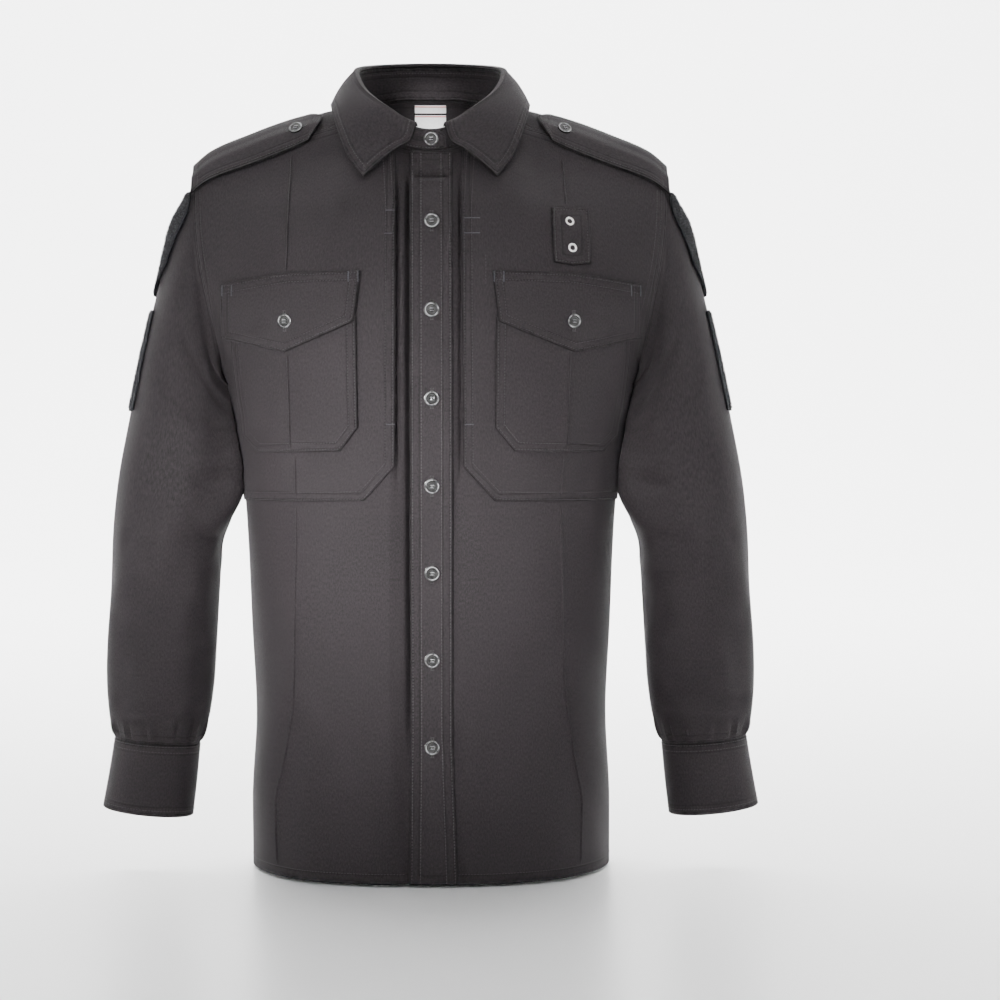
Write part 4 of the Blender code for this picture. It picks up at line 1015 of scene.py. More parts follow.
def collar_stand(name):
    stations, rows = 150, 12
    lap = math.asin(0.016 / NECK_HALF_WIDTH)
    ends = [-lap, 0.5, 2 * math.pi - 0.5, 2 * math.pi + lap]
    outer, inner = [], []
    for angle in np.linspace(-lap, 2 * math.pi + lap, stations + 1):
        over = STAND_OVERLAP * np.interp(angle, ends, [-1, 0, 0, 1])
        low_x, low_z = neckline(angle)
        low = body(FRONT if math.cos(angle) > 0 else BACK, low_x, low_z)[0][:2]
        low_z += 0.0013
        high = np.array(ring_point(angle, FOLD_HALF_WIDTH, FOLD_FRONT, FOLD_BACK))
        high_z = float(fold_height(high[1])) - FOLD_RISE
        rounding = 0.006 * ease((abs(angle - math.pi) - math.pi - lap * 0.30) / (lap * 0.7))
        wall = []
        for s in np.linspace(0, 1, rows):
            flat = low + (high - low) * s
            way = flat / np.linalg.norm(flat)
            z = low_z + (high_z - low_z - rounding) * s
            middle = flat + way * over
            wall.append([(*(middle + way * DOUBLE_CLOTH / 2), z), (*(middle - way * DOUBLE_CLOTH / 2), z)])
        outer.append([w[0] for w in wall])
        inner.append([w[1] for w in wall])
    return cloth(name, np.array(outer), np.array(inner), TWILL_DOUBLE)


def loft(rings, rows):
    """Rings joined by a smooth surface and read at even steps along it."""
    rings = np.array(rings)
    steps = np.linspace(0, len(rings) - 1, rows + 1)
    i = np.clip(steps.astype(int), 0, len(rings) - 2)
    t = (steps - i).reshape(-1, *[1] * (rings.ndim - 1))
    before, after = rings[np.maximum(i - 1, 0)], rings[np.minimum(i + 2, len(rings) - 1)]
    a, b = rings[i], rings[i + 1]
    bend = 2 * before - 5 * a + 4 * b - after
    return a + 0.5 * t * (b - before + t * (bend + t * (3 * (a - b) + after - before)))


def collar_leaf(name):
    stations = 150
    fold_start, edge_start = math.radians(10.5), math.radians(41)
    grid = []
    for s in np.linspace(0, 1, stations + 1):
        fold_angle = fold_start + (2 * math.pi - 2 * fold_start) * s
        edge_angle = edge_start + (2 * math.pi - 2 * edge_start) * s
        high = np.array(ring_point(fold_angle, FOLD_HALF_WIDTH, FOLD_FRONT, FOLD_BACK))
        way = high / np.linalg.norm(high)
        z = float(fold_height(high[1])) - FOLD_RISE
        x, y = ring_point(edge_angle, LEAF_HALF_WIDTH, LEAF_FRONT, LEAF_BACK)
        edge_z = torso_height(x, min(max(y, -0.088), LEAF_BACK))
        point, normal = body(BACK if y > 0 else FRONT, x, edge_z)
        edge = point + normal * 0.0062
        rise = [(-0.0004, 0.0012), (-0.0001, 0.0037), (0.0022, FOLD_RISE), (0.0050, 0.0052)]
        line = [np.array([*(high + way * out), z + up]) for out, up in rise]
        start = np.array([*(high + way * 0.0068), z + 0.0025])
        ends = ease(1 - min(s, 1 - s) / 0.09)
        for t in (0, 0.10, 0.32, 0.55, 0.78, 1):
            bow = 0.0035 * 4 * t * (1 - t)
            dip = 0.012 * (1 - t) * ends if t > 0 else 0
            line.append(start + (edge - start) * t + np.array([*way, 0.8]) * bow - np.array([0, 0, dip]))
        grid.append(line)
    grid = np.swapaxes(loft(np.swapaxes(np.array(grid), 0, 1), 36), 0, 1)
    normals = grid_normals(grid)
    if np.dot(normals[0, -3], (0, -1, 0)) < 0:
        normals = -normals
    return cloth(name, grid, grid - normals * 0.0016, TWILL_DOUBLE)


def placket(name):
    heights = [HEM_Z, PLACKET_FLARE_Z, ARMPIT_Z, NECK_FRONT_Z - SEAM_GAP]
    counts = [8 * FINE, 14 * FINE, 18 * FINE]
    flare = [1, 0, 0, 0]
    left = path([(PLACKET_LEFT_X - 0.0015 * f, z) for f, z in zip(flare, heights)], counts)
    right = path([(PLACKET_RIGHT_X + 0.0045 * f, z) for f, z in zip(flare, heights)], counts)
    grid = patch(path([left[0], right[0]], [12]), path([left[-1], right[-1]], [12]), left, right)
    return body_sheet(name, grid, PLACKET_LIFT, DOUBLE_CLOTH, TWILL_DOUBLE)


Corner = namedtuple("Corner", "x z")
POCKET_LOW = [Corner(0.0864, -0.3330), Corner(0.1670, -0.3360)]
POCKET_CHAMFER = [Corner(0.0696, -0.3104), Corner(0.1815, -0.3200)]
POCKET_TOP = [Corner(0.0710, -0.2020), Corner(0.1940, -0.2140)]
FLAP_TOP = [Corner(0.0672, -0.1620), Corner(0.1350, -0.1640), Corner(0.1990, -0.1740)]
FLAP_LOW = [Corner(0.0729, -0.2096), Corner(0.1385, -0.2378), Corner(0.1985, -0.2246)]


def placed(corners, spread, shift):
    return [Corner(CHEST_BUTTON_X + (c.x - CHEST_BUTTON_X) * spread + shift, c.z) for c in corners]


def pocket(name, sign, spread, shift):
    low, chamfer, top = (placed(row, spread, shift) for row in (POCKET_LOW, POCKET_CHAMFER, POCKET_TOP))
    left = path([low[0], chamfer[0], top[0]], [6, 28])
    right = path([low[1], chamfer[1], top[1]], [6, 28])
    grid = patch(path(low, [30]), path(top, [30]), left, right)
    return body_sheet(name, mirror_grid(grid, sign), POCKET_LIFT, CLOTH, TWILL)


def flap(name, sign, spread, shift):
    low, top = placed(FLAP_LOW, spread, shift), placed(FLAP_TOP, spread, shift)
    ends = [path([low[k], top[k]], [18]) for k in (0, 2)]
    grid = patch(path(low, [18, 18]), path(top, [18, 18]), *ends)
    return body_sheet(name, mirror_grid(grid, sign), FLAP_LIFT, DOUBLE_CLOTH, TWILL_DOUBLE)


TAB_LOW = [(0.1175, -0.1530), (0.1355, -0.1560), (0.1530, -0.1540)]
TAB_TOP = [(0.1156, -0.1015), (0.1330, -0.1015), (0.1515, -0.1015)]


def badge_tab(name):
    low, top = path(TAB_LOW, [8, 8]), path(TAB_TOP, [8, 8])
    grid = patch(low, top, path([low[0], top[0]], [20]), path([low[-1], top[-1]], [20]))
    return body_sheet(name, grid, TAB_LIFT, DOUBLE_CLOTH, TWILL_DOUBLE)


StrapRow = namedtuple("StrapRow", "x rear front")
STRAP = [
    StrapRow(0.2330, 0.04, -0.54),
    StrapRow(0.2100, 0.02, -0.56),
    StrapRow(0.1900, 0.00, -0.575),
    StrapRow(0.1700, -0.02, -0.59),
    StrapRow(0.1520, -0.045, -0.605),
    StrapRow(0.1350, -0.07, -0.615),
    StrapRow(0.1180, -0.10, -0.625),
    StrapRow(0.1065, -0.28, -0.45),
]


def strap_lift(drop):
    return np.interp(drop, [0.007, 0.0135], [STRAP_LIFT, STRAP_FRONT_LIFT])


def strap_at(row, share, lift, sign):
    """Points of the shoulder strap, by row from its sewn end and by share from its rear edge."""
    at = np.arange(len(STRAP))
    x = np.interp(row, at, column(STRAP, "x"))
    rear, front = np.interp(row, at, column(STRAP, "rear")), np.interp(row, at, column(STRAP, "front"))
    turn = rear + (front - rear) * share
    drop = ridge_z(x) - rolled(x, turn)[1]
    return over_shoulder(x, turn, strap_lift(drop) + lift, sign)


def epaulette(name, sign):
    row, share = np.meshgrid(np.linspace(0, len(STRAP) - 1, 57), np.linspace(0, 1, 25), indexing="ij")
    outer, _ = strap_at(row, share, DOUBLE_CLOTH, sign)
    inner, _ = strap_at(row, share, 0, sign)
    return cloth(name, outer, inner, TWILL_DOUBLE)


def section_ring(section, columns):
    turn = np.linspace(0, 2 * math.pi, columns, endpoint=False)
    outer = np.array([section.outer_x, 0, section.outer_z])
    inner = np.array([section.inner_x, 0, section.inner_z])
    depth = np.where(np.sin(turn) > 0, section.front, section.back)
    ring = (outer + inner) / 2 + np.cos(turn)[:, None] * (outer - inner) / 2
    ring[:, 1] = section.centre_y - np.sin(turn) * depth
    return ring


def armhole_ring(columns):
    turn = np.linspace(0, 2 * math.pi, columns, endpoint=False)
    top = ARMHOLE_PEAK - 0.0002
    z = top + (ARMPIT_Z + 0.0003 - top) * (1 - np.cos(turn)) / 2
    # The front's edge goes in under the chest overlay
    under = (np.sin(turn) > 0) * ease((ARMHOLE_TOP - 0.002 - z) / 0.010) * ease((z - ARMPIT_Z) / 0.020)
    points, normals = body(np.where(np.sin(turn) > 0, FRONT, BACK), armhole_x(z) - SLEEVE_TUCK * under, z)
    points[:, 0] += (SEAM_GAP + CLOTH * normals[:, 0]) * (1 - under)
    return points, normals


def tube_grid(rings, rows, seam_normals=None):
    grid = loft(rings, rows)
    normals = grid_normals(grid, tube=True)
    if normals[rows // 2, 0, 0] < 0:
        normals = -normals
    if seam_normals is not None:
        normals[0] = seam_normals
    return np.concatenate([grid, grid[:, :1]], axis=1), np.concatenate([normals, normals[:, :1]], axis=1)


ROUND = 240
SEAM_RING, SEAM_NORMALS = armhole_ring(ROUND)
SLEEVE_GRID = tube_grid([SEAM_RING] + [section_ring(s, ROUND) for s in SLEEVE], 216, SEAM_NORMALS)
CUFF_GRID = tube_grid([section_ring(s, ROUND) for s in CUFF], 24)


def sleeve_folds(share, turn):
    """How far the sleeve's cloth stands off its plain shape."""
    around = np.radians(turn)
    high = np.zeros(np.broadcast(share, turn).shape)
    for a, b, c in ((5, 14, 0.3), (3, 23, 1.9), (7, 9, 4.0), (4, 31, 2.7)):
        high = high + 0.00042 * np.sin(a * around + b * share + c)
    for band in SLEEVE_BANDS:
        off = (turn - band.turn0 + 180) % 360 - 180
        length = band.turn1 - band.turn0
        away = near_line(np.radians(off) * 0.055, share * 0.56, 0, band.share0 * 0.56,
                         math.radians(length) * 0.055, band.share1 * 0.56)
        high = high + band.depth * np.exp(-((away / band.width) ** 2))
    # The sleeve's inner side hangs close along the body
    full = np.interp(share, [0.010, 0.040, 0.083, 0.25, 0.375, 0.46, 0.56],
                     [0, 0.018, 0.018, 0.016, 0.0145, 0.0080, 0])
    high = high + full * np.exp(-((((turn + 180) % 360 - 334) / 17) ** 2))
    gather = np.sin(math.pi * np.clip((share - 0.905) / 0.095, 0, 1))
    high = high + gather * (0.0011 * np.sin(17 * around + 0.8) + 0.0008 * np.sin(29 * around + 2.1))
    return high * ease(share / 0.09) * ease((1 - share) / 0.03)


def read_grid(grid, row, col):
    """A grid read between its points."""
    row, col = np.broadcast_arrays(np.asarray(row, float), np.asarray(col, float))
    r = np.clip(np.floor(row).astype(int), 0, grid.shape[0] - 2)
    c = np.clip(np.floor(col).astype(int), 0, grid.shape[1] - 2)
    fr, fc = (row - r)[..., None], (col - c)[..., None]
    low = grid[r, c] * (1 - fc) + grid[r, c + 1] * fc
    high = grid[r + 1, c] * (1 - fc) + grid[r + 1, c + 1] * fc
    return low * (1 - fr) + high * fr


BODY_CLEARANCE = 0.0034


def clear_of_body(points):
    """The sleeve's points, kept just clear of the body below the armpit."""
    x, y, z = np.moveaxis(points, -1, 0)
    depth = np.where(y < 0, smooth(BODY, "front", z), smooth(BODY, "back", z))
    side = half_width(z) * np.clip(1 - (y / depth) ** 2, 0, 1) ** (1 / ROUNDNESS)
    below = ease((ARMPIT_Z - z) / 0.012)
    return np.stack([np.where(below > 0, np.maximum(x, side + BODY_CLEARANCE * below), x), y, z], axis=-1)


def on_arm(share, turn, lift, sign, tube=SLEEVE_GRID):
    """Points on a sleeve or cuff by share of its length and turn in degrees, and their normals."""
    share, turn = np.broadcast_arrays(np.asarray(share, float), np.asarray(turn, float))
    row = share * (len(tube[0]) - 1)
    col = (turn % 360) / 360 * ROUND
    points, normals = read_grid(tube[0], row, col), read_grid(tube[1], row, col)
    if tube is SLEEVE_GRID:
        points = clear_of_body(points + normals * sleeve_folds(share, turn)[..., None])
    flip = np.array([sign, 1, 1])
    return (points + normals * np.asarray(lift)[..., None]) * flip, normals * flip


def arm_tube(name, sign, tube, rows, wall, finish):
    """A sleeve or a cuff."""
    share, turn = np.meshgrid(np.linspace(0, 1, rows), np.linspace(0, 360, 90, endpoint=False), indexing="ij")
    outer, normals = on_arm(share, turn, 0.0, sign, tube=tube)
    return cloth(name, outer, outer - normals * wall, finish, tube=True)


SleeveRow = namedtuple("SleeveRow", "share start end sag")
SHIELD = [
    SleeveRow(0.085, -46, 35, 0.055),
    SleeveRow(0.115, -47, 36, 0.045),
    SleeveRow(0.150, -47, 36, 0.030),
    SleeveRow(0.185, -46, 35, 0.018),
    SleeveRow(0.220, -42, 31, 0.014),
    SleeveRow(0.248, -30, 20, 0.012),
    SleeveRow(0.268, -9, 1, 0.000),
]
TAPE = [SleeveRow(share, -26, 22, 0.006) for share in (0.288, 0.321, 0.354, 0.387, 0.420)]
VENT = [SleeveRow(share, -62, -38, 0.0) for share in (0.815, 0.855, 0.895, 0.935, 0.985)]
LOOP_CLOTH = 0.0020


def arm_patch(rows, down, over):
    """A patch's share and turn, by how far down and across it: each 0 to 1."""
    at = np.asarray(down) * (len(rows) - 1)
    known = np.arange(len(rows))
    start, end = np.interp(at, known, column(rows, "start")), np.interp(at, known, column(rows, "end"))
    sag = np.interp(at, known, column(rows, "sag")) * (2 * np.asarray(over) - 1) ** 2
    return np.interp(at, known, column(rows, "share")) - sag, start + (end - start) * np.asarray(over)


def sleeve_patch(name, sign, rows, wall, finish, lift, steps=(40, 32)):
    down, over = np.meshgrid(np.linspace(0, 1, steps[0] + 1), np.linspace(0, 1, steps[1] + 1), indexing="ij")
    share, turn = arm_patch(rows, down, over)
    inner, normals = on_arm(share, turn, lift, sign)
    return cloth(name, inner + normals * wall, inner, finish)


LABEL_HALF_WIDTH = 0.0158
LABEL_DEPTH = 0.0028
LABEL_THICK = 0.0006


def neck_label(name, low_z, high_z):
    label_x = np.linspace(-LABEL_HALF_WIDTH, LABEL_HALF_WIDTH, 13)
    points, normals = body(BACK, *np.meshgrid(label_x, np.linspace(low_z, high_z, 7)))
    outer, inner = points - normals * LABEL_DEPTH, points - normals * (LABEL_DEPTH + LABEL_THICK)
    piece = cloth(name, outer, inner, LABEL, sewn=False)
    points, normals = body(BACK, *np.meshgrid(label_x, [high_z - 0.0009, high_z - 0.0002]))
    outer, inner = points - normals * (LABEL_DEPTH + 0.0007), points - normals * (LABEL_DEPTH + 0.0010)
    edge = cloth(f"{name}_edge", outer, inner, LABEL_EDGE, sewn=False)
    return piece


# Sewing

def stitch_shape():
    """One stitch, modelled lying along X on the cloth at Z = 0, as points and faces."""
    bpy.ops.mesh.primitive_uv_sphere_add(segments=4, ring_count=4, radius=1, location=(0, 0, 0))
    made = bpy.context.object
    bpy.ops.object.mode_set(mode="EDIT")
    bpy.ops.mesh.select_all(action="SELECT")
    bpy.ops.transform.rotate(value=QUARTER, orient_axis="Y", center_override=(0, 0, 0))
    bpy.ops.transform.resize(value=(1, 0.5, 0.5))
    bpy.ops.object.mode_set(mode="OBJECT")
    points = np.array([v.co[:] for v in made.data.vertices])
    points[:, 0] = np.sign(points[:, 0]) * abs(points[:, 0]) ** 0.6
    points = points / np.abs(points).max(axis=0)
    faces = [list(f.vertices) for f in made.data.polygons]
    bpy.data.objects.remove(made)
    return points, faces


STITCH_POINTS, STITCH_FACES = stitch_shape()
THREADS = {}
ROW_PITCH = 0.0030
THREAD_HALF = 0.00033


def lay_stitches(thread, middles, ahead, normals, half_length, half_width=THREAD_HALF, half_height=0.00024):
    """Copies of the stitch at many places, each pointing along its own direction."""
    ahead = ahead - normals * np.sum(ahead * normals, axis=1, keepdims=True)
    ahead = ahead / np.linalg.norm(ahead, axis=1, keepdims=True)
    aside = np.cross(normals, ahead)
    size = np.array([half_length, half_width, half_height])
    shape = STITCH_POINTS * size
    points = (middles[:, None] + shape[None, :, :1] * ahead[:, None] + shape[None, :, 1:2] * aside[:, None]
              + (shape[None, :, 2:] + half_height * 0.25) * normals[:, None])
    THREADS.setdefault(thread, []).append(points)


def read_path(values, run, at):
    """Values given at the points of a path, read at lengths along it."""
    return np.stack([np.interp(at, run, values[:, k]) for k in range(3)], axis=1)


def sew(thread, points, normals):
    """A row of stitches along a path on the cloth."""
    run = run_of(points)
    count = max(int(run[-1] / ROW_PITCH), 1)
    at = (np.arange(count) + 0.5) * run[-1] / count
    ahead = read_path(points, run, at + 0.0004) - read_path(points, run, at - 0.0004)
    way = read_path(normals, run, at)
    way /= np.linalg.norm(way, axis=1, keepdims=True)
    ahead += np.cross(way, ahead) * chance.normal(0, 0.05, (count, 1))
    lay_stitches(thread, read_path(points, run, at), ahead, way, ROW_PITCH * 0.39)


def tack(thread, points, normals, width=0.0016, pitch=0.00055):
    """Stitches set close side by side across a short line, as on a bartack or buttonhole."""
    run = run_of(points)
    count = max(int(run[-1] / pitch), 2)
    at = np.linspace(0, run[-1], count)
    middle, way = read_path(points, run, at), read_path(normals, run, at)
    way /= np.linalg.norm(way, axis=1, keepdims=True)
    along = np.gradient(middle, axis=0)
    slant = np.cross(way, along) + along * 0.25 * np.where(np.arange(count) % 2, 1, -1)[:, None]
    lay_stitches(thread, middle, slant, way, width / 2, 0.00022, 0.00030)


def trace(corners, step=0.003):
    """A path through corners with close points."""
    corners = np.array(corners, float)
    counts = [max(int(np.linalg.norm(b - a) / step), 1) for a, b in zip(corners, corners[1:])]
    return path([tuple(c) for c in corners], counts)


def beside(corners, distance):
    """A path moved sideways, to its left, with its corners kept."""
    p = np.array(corners, float)
    way = np.diff(p, axis=0)
    way /= np.linalg.norm(way, axis=1, keepdims=True)
    left = np.stack([-way[:, 1], way[:, 0]], axis=1)
    out = p.copy()
    out[0] += left[0] * distance
    out[-1] += left[-1] * distance
    for i in range(1, len(p) - 1):
        out[i] += (left[i - 1] + left[i]) * distance / (1 + left[i - 1] @ left[i])
    return out


def sew_body(thread, corners, lift, sign=1, offsets=(0,)):
    """Rows along a path of (x, z) on the body's front, each moved sideways by an offset."""
    for offset in offsets:
        way = trace(beside(corners, offset) if offset else corners)
        sew(thread, *on_body(FRONT, way[:, 0] * sign, way[:, 1], lift + THREAD_LIFT))


def tack_body(start, end, lift, thread="bartacks_front", width=0.0016):
    way = trace([start, end], 0.001)
    tack(thread, *on_body(FRONT, way[:, 0], way[:, 1], lift), width=width)


def inward(grid, distance, from_end):
    """For each row of a grid, the place along it that lies so far in from one end."""
    places = []
    for row in grid:
        run = run_of(row)
        places.append(np.interp(run[-1] - distance if from_end else distance, run, np.arange(len(row))))
    return np.array(places)


def sew_grid(thread, name, rows, cols, inside=0.0):
    """A row of stitches over a piece's own grid.

    For a row on the piece's inner face, inside is the wall's thickness."""
    outer, normals = GRIDS[name]
    points, way = read_grid(outer, rows, cols), read_grid(normals, rows, cols)
    way = way / np.linalg.norm(way, axis=-1, keepdims=True)
    if inside:
        points, way = points - way * inside, -way
    sew(thread, points, way)


def welt(name, points, normals, width, height, finish=TWILL, slot="front_left"):
    """A narrow ridge of cloth along a path, such as a sewn-in crease, dying out at its ends."""
    ahead = np.gradient(points, axis=0)
    aside = np.cross(normals, ahead)
    aside /= np.linalg.norm(aside, axis=1, keepdims=True)
    count = len(points)
    fade = ease(np.minimum(np.arange(count), np.arange(count)[::-1]) / 4)
    shares = np.linspace(-1, 1, 9)
    profile = height * (1 - abs(shares) ** 1.2)
    outer = (points[:, None] + aside[:, None] * (shares * width / 2)[None, :, None]
             + normals[:, None] * (profile[None, :] * fade[:, None] - WELT_SINK)[..., None])
    inner = outer - normals[:, None] * (profile[None, :] * fade[:, None] + 0.0004)[..., None]
    piece = cloth(name, outer, inner, finish, keep=False)
    return piece


# Buttons and eyelets

def edit(made):
    bpy.ops.object.select_all(action="DESELECT")
    bpy.context.view_layer.objects.active = made
    made.select_set(True)
    bpy.ops.object.mode_set(mode="EDIT")
    bpy.ops.mesh.select_all(action="DESELECT")


def pick_faces(made, wanted):
    """Selects the faces that a test on their centre and normal wants, in edit mode."""
    bpy.ops.object.mode_set(mode="OBJECT")
    for face in made.data.polygons:
        face.select = bool(wanted(face.center, face.normal))
    bpy.ops.object.mode_set(mode="EDIT")


def apply_modifier(made, kind, **values):
    bpy.context.view_layer.objects.active = made
    modifier = made.modifiers.new(kind.lower(), kind)
    for key, value in values.items():
        setattr(modifier, key, value)
    bpy.ops.object.modifier_apply(modifier=modifier.name)


def four_hole_button():
    """A resin button of unit radius with a raised rim, a dished middle and four holes."""
    bpy.ops.mesh.primitive_cylinder_add(vertices=36, radius=1, depth=0.30, location=(0, 0, 0.17))
    made = bpy.context.object
    edit(made)
    bpy.ops.mesh.select_mode(type="FACE")
    pick_faces(made, lambda centre, normal: normal.z < -0.9)
    bpy.ops.mesh.inset(thickness=0.30)
    pick_faces(made, lambda centre, normal: normal.z > 0.9)
    bpy.ops.mesh.inset(thickness=0.09)
    bpy.ops.mesh.inset(thickness=0.16)
    bpy.ops.mesh.inset(thickness=0.10)
    bpy.ops.transform.translate(value=(0, 0, -0.11))
    bpy.ops.mesh.inset(thickness=0.12)
    bpy.ops.transform.translate(value=(0, 0, 0.015))
    bpy.ops.object.mode_set(mode="OBJECT")
    for i in range(4):
        turn = QUARTER * (i + 0.5)
        bpy.ops.mesh.primitive_cylinder_add(vertices=12, radius=0.095, depth=1,
                                            location=(0.235 * math.cos(turn), 0.235 * math.sin(turn), 0.2))
        drill = bpy.context.object
        apply_modifier(made, "BOOLEAN", object=drill, operation="DIFFERENCE", solver="EXACT")
        bpy.data.objects.remove(drill)
    apply_modifier(made, "BEVEL", width=0.035, segments=2, limit_method="ANGLE", angle_limit=math.radians(28))
    made.data.materials.append(RESIN)
    made.data.materials.append(RESIN_RIM_PAINTED_HIGHLIGHT)
    # The rim faces take the painted highlight.
    for face in made.data.polygons:
        if face.normal.z > 0.25 and 0.70 < math.hypot(face.center.x, face.center.y) < 0.91:
            face.material_index = 1
    made.data.shade_smooth()
    made.data.set_sharp_from_angle(angle=math.radians(50))
    return made


def rolled_eyelet():
    """A nickel eyelet of unit radius: a barrel with its lip rolled outwards and down."""
    bpy.ops.mesh.primitive_circle_add(vertices=32, radius=0.50, location=(0, 0, -0.10), fill_type="NOTHING")
    made = bpy.context.object
    edit(made)
    bpy.ops.mesh.select_mode(type="EDGE")
    bpy.ops.mesh.select_all(action="SELECT")
    for up, spread in ((0.20, 1.0), (0.07, 1.12), (0.03, 1.22), (0.0, 1.16), (-0.04, 1.12), (-0.08, 1.05)):
        bpy.ops.mesh.extrude_region_move(TRANSFORM_OT_translate={"value": (0, 0, up)})
        bpy.ops.transform.resize(value=(spread, spread, 1))
    bpy.ops.object.mode_set(mode="OBJECT")
    apply_modifier(made, "SOLIDIFY", thickness=0.05, offset=0)
    edit(made)
    bpy.ops.mesh.select_all(action="SELECT")
    bpy.ops.mesh.normals_make_consistent(inside=False)
    bpy.ops.object.mode_set(mode="OBJECT")
    made.data.materials.append(NICKEL)
    made.data.shade_smooth()
    return made


def seated(name, pattern, point, normal, radius, turn=0.0):
    """A copy of a button or eyelet on its seat, standing for its solid."""
    normal = Vector(normal).normalized()
    right = normal.cross(Vector((0, 0, 1))).normalized()
    up = right.cross(normal)
    spin = Matrix.Rotation(turn, 4, "Z")
    base = Matrix(((right.x, up.x, normal.x, point[0]), (right.y, up.y, normal.y, point[1]),
                   (right.z, up.z, normal.z, point[2]), (0, 0, 0, 1)))
    mesh = pattern.data.copy()
    mesh.transform(base @ spin @ Matrix.Scale(radius, 4))
    mesh.name = f"{name}_made"
    if base.determinant() < 0:
        mesh.flip_normals()
    piece = bpy.data.objects.new(f"{name}_made", mesh)
    bpy.context.scene.collection.objects.link(piece)
    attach(piece, "root")
    return dress(piece, name)


def sewn_button(name, pattern, point, normal, radius, thread, turn=0.0):
    """A button with the two bars of thread through its holes."""
    normal = np.array(normal, float) / np.linalg.norm(normal)
    seated(name, pattern, np.array(point) + normal * 0.0001, normal, radius, turn)
    right = np.cross(normal, (0, 0, 1))
    right /= np.linalg.norm(right)
    up = np.cross(right, normal)
    reach = 0.166 * radius
    for bar in (-1, 1):
        middle = np.array(point) + normal * radius * 0.245 + up * bar * reach
        for shift in (-0.00022, 0.00022):
            strand = middle + up * shift
            lay_stitches(thread, strand[None], right[None], normal[None], radius * 0.30, 0.00024)


BUTTON = four_hole_button()
EYELET = rolled_eyelet()
BUTTON_RADIUS = 0.0074
SMALL_BUTTON_RADIUS = 0.0070
BUTTONHOLE_HALF = 0.0096


def buttonhole(middle_x, middle_z, lift, sign=1):
    """A vertical buttonhole: two legs of close stitches and its end bars."""
    x = sign * middle_x
    low_z, high_z = middle_z - BUTTONHOLE_HALF, middle_z + BUTTONHOLE_HALF
    for shift in (-0.0010, 0.0010):
        tack_body((x + shift, low_z), (x + shift, high_z), lift, "buttonholes", 0.0017)
    for z in (low_z, high_z):
        tack_body((x - 0.0016, z), (x + 0.0016, z), lift, "buttonholes", 0.0012)


# Making the shirt

SHEETS = {
    "front_left": (0.275, 0.735, 0.190), "front_right": (0.275, 0.735, 0.188), "back": (0.56, 0.66, 0.345),
    "yoke": (0.52, 0.22, 0.074),
    "chest_overlay_left": (0.23, 0.38, 0.077), "chest_overlay_right": (0.23, 0.38, 0.076),
    "placket": (0.044, 0.71, None), "collar_stand": (0.46, 0.035, None), "collar_leaf": (0.47, 0.080, 0.0300),
    "pocket_left": (0.142, 0.138, None), "pocket_right": (0.132, 0.138, None),
    "pocket_flap_left": (0.152, 0.080, 0.0101), "pocket_flap_right": (0.141, 0.080, 0.0094),
    "badge_tab": (0.040, 0.060, None),
    "epaulette_left": (0.150, 0.047, None), "epaulette_right": (0.150, 0.047, None),
    "sleeve_left": (0.37, 0.56, 0.158), "sleeve_right": (0.37, 0.56, 0.158),
    "sleeve_vent_left": (0.023, 0.060, None), "sleeve_vent_right": (0.023, 0.060, None),
    "cuff_left": (0.26, 0.07, None), "cuff_right": (0.26, 0.07, None),
    "shield_loop_left": (0.088, 0.103, 0.0080), "shield_loop_right": (0.088, 0.103, 0.0080),
    "tape_loop_left": (0.05, 0.104, None), "tape_loop_right": (0.05, 0.104, None),
    "size_label": (0.0316, 0.0125, None), "care_label": (0.0316, 0.027, None),
}
PIECES = {}


def keep(node_name, make, *values):
    piece = make(f"{node_name}_cloth", *values)
    GRIDS[node_name] = GRIDS.pop(piece.name)
    PIECES[node_name] = dress(piece, node_name)


keep("front_left", front_panel, 1, -0.0185, False)
keep("front_right", front_panel, -1, -0.0160, True)
keep("chest_overlay_left", chest_overlay, "left", 1)
keep("chest_overlay_right", chest_overlay, "right", -1)
keep("back", back_panel)
keep("yoke", yoke)
keep("collar_stand", collar_stand)
keep("collar_leaf", collar_leaf)
keep("placket", placket)
keep("badge_tab", badge_tab)
keep("size_label", neck_label, 0.0035, 0.0105)
keep("care_label", neck_label, -0.0200, 0.0010)
SIDES = (("left", 1, 1.08, -0.0030), ("right", -1, 1.0, 0.0))
for end, sign, spread, shift in SIDES:
    keep(f"pocket_{end}", pocket, sign, spread, shift)
    keep(f"pocket_flap_{end}", flap, sign, spread, shift)
    keep(f"epaulette_{end}", epaulette, sign)
    keep(f"sleeve_{end}", arm_tube, sign, SLEEVE_GRID, 121, CLOTH, TWILL)
    keep(f"cuff_{end}", arm_tube, sign, CUFF_GRID, 17, DOUBLE_CLOTH, TWILL_DOUBLE)
    keep(f"sleeve_vent_{end}", sleeve_patch, sign, VENT, DOUBLE_CLOTH, TWILL_DOUBLE, PATCH_LIFT, (30, 10))
    keep(f"shield_loop_{end}", sleeve_patch, sign, SHIELD, LOOP_CLOTH, NAP, SHIELD_LIFT)
    keep(f"tape_loop_{end}", sleeve_patch, sign, TAPE, LOOP_CLOTH, NAP, PATCH_LIFT)

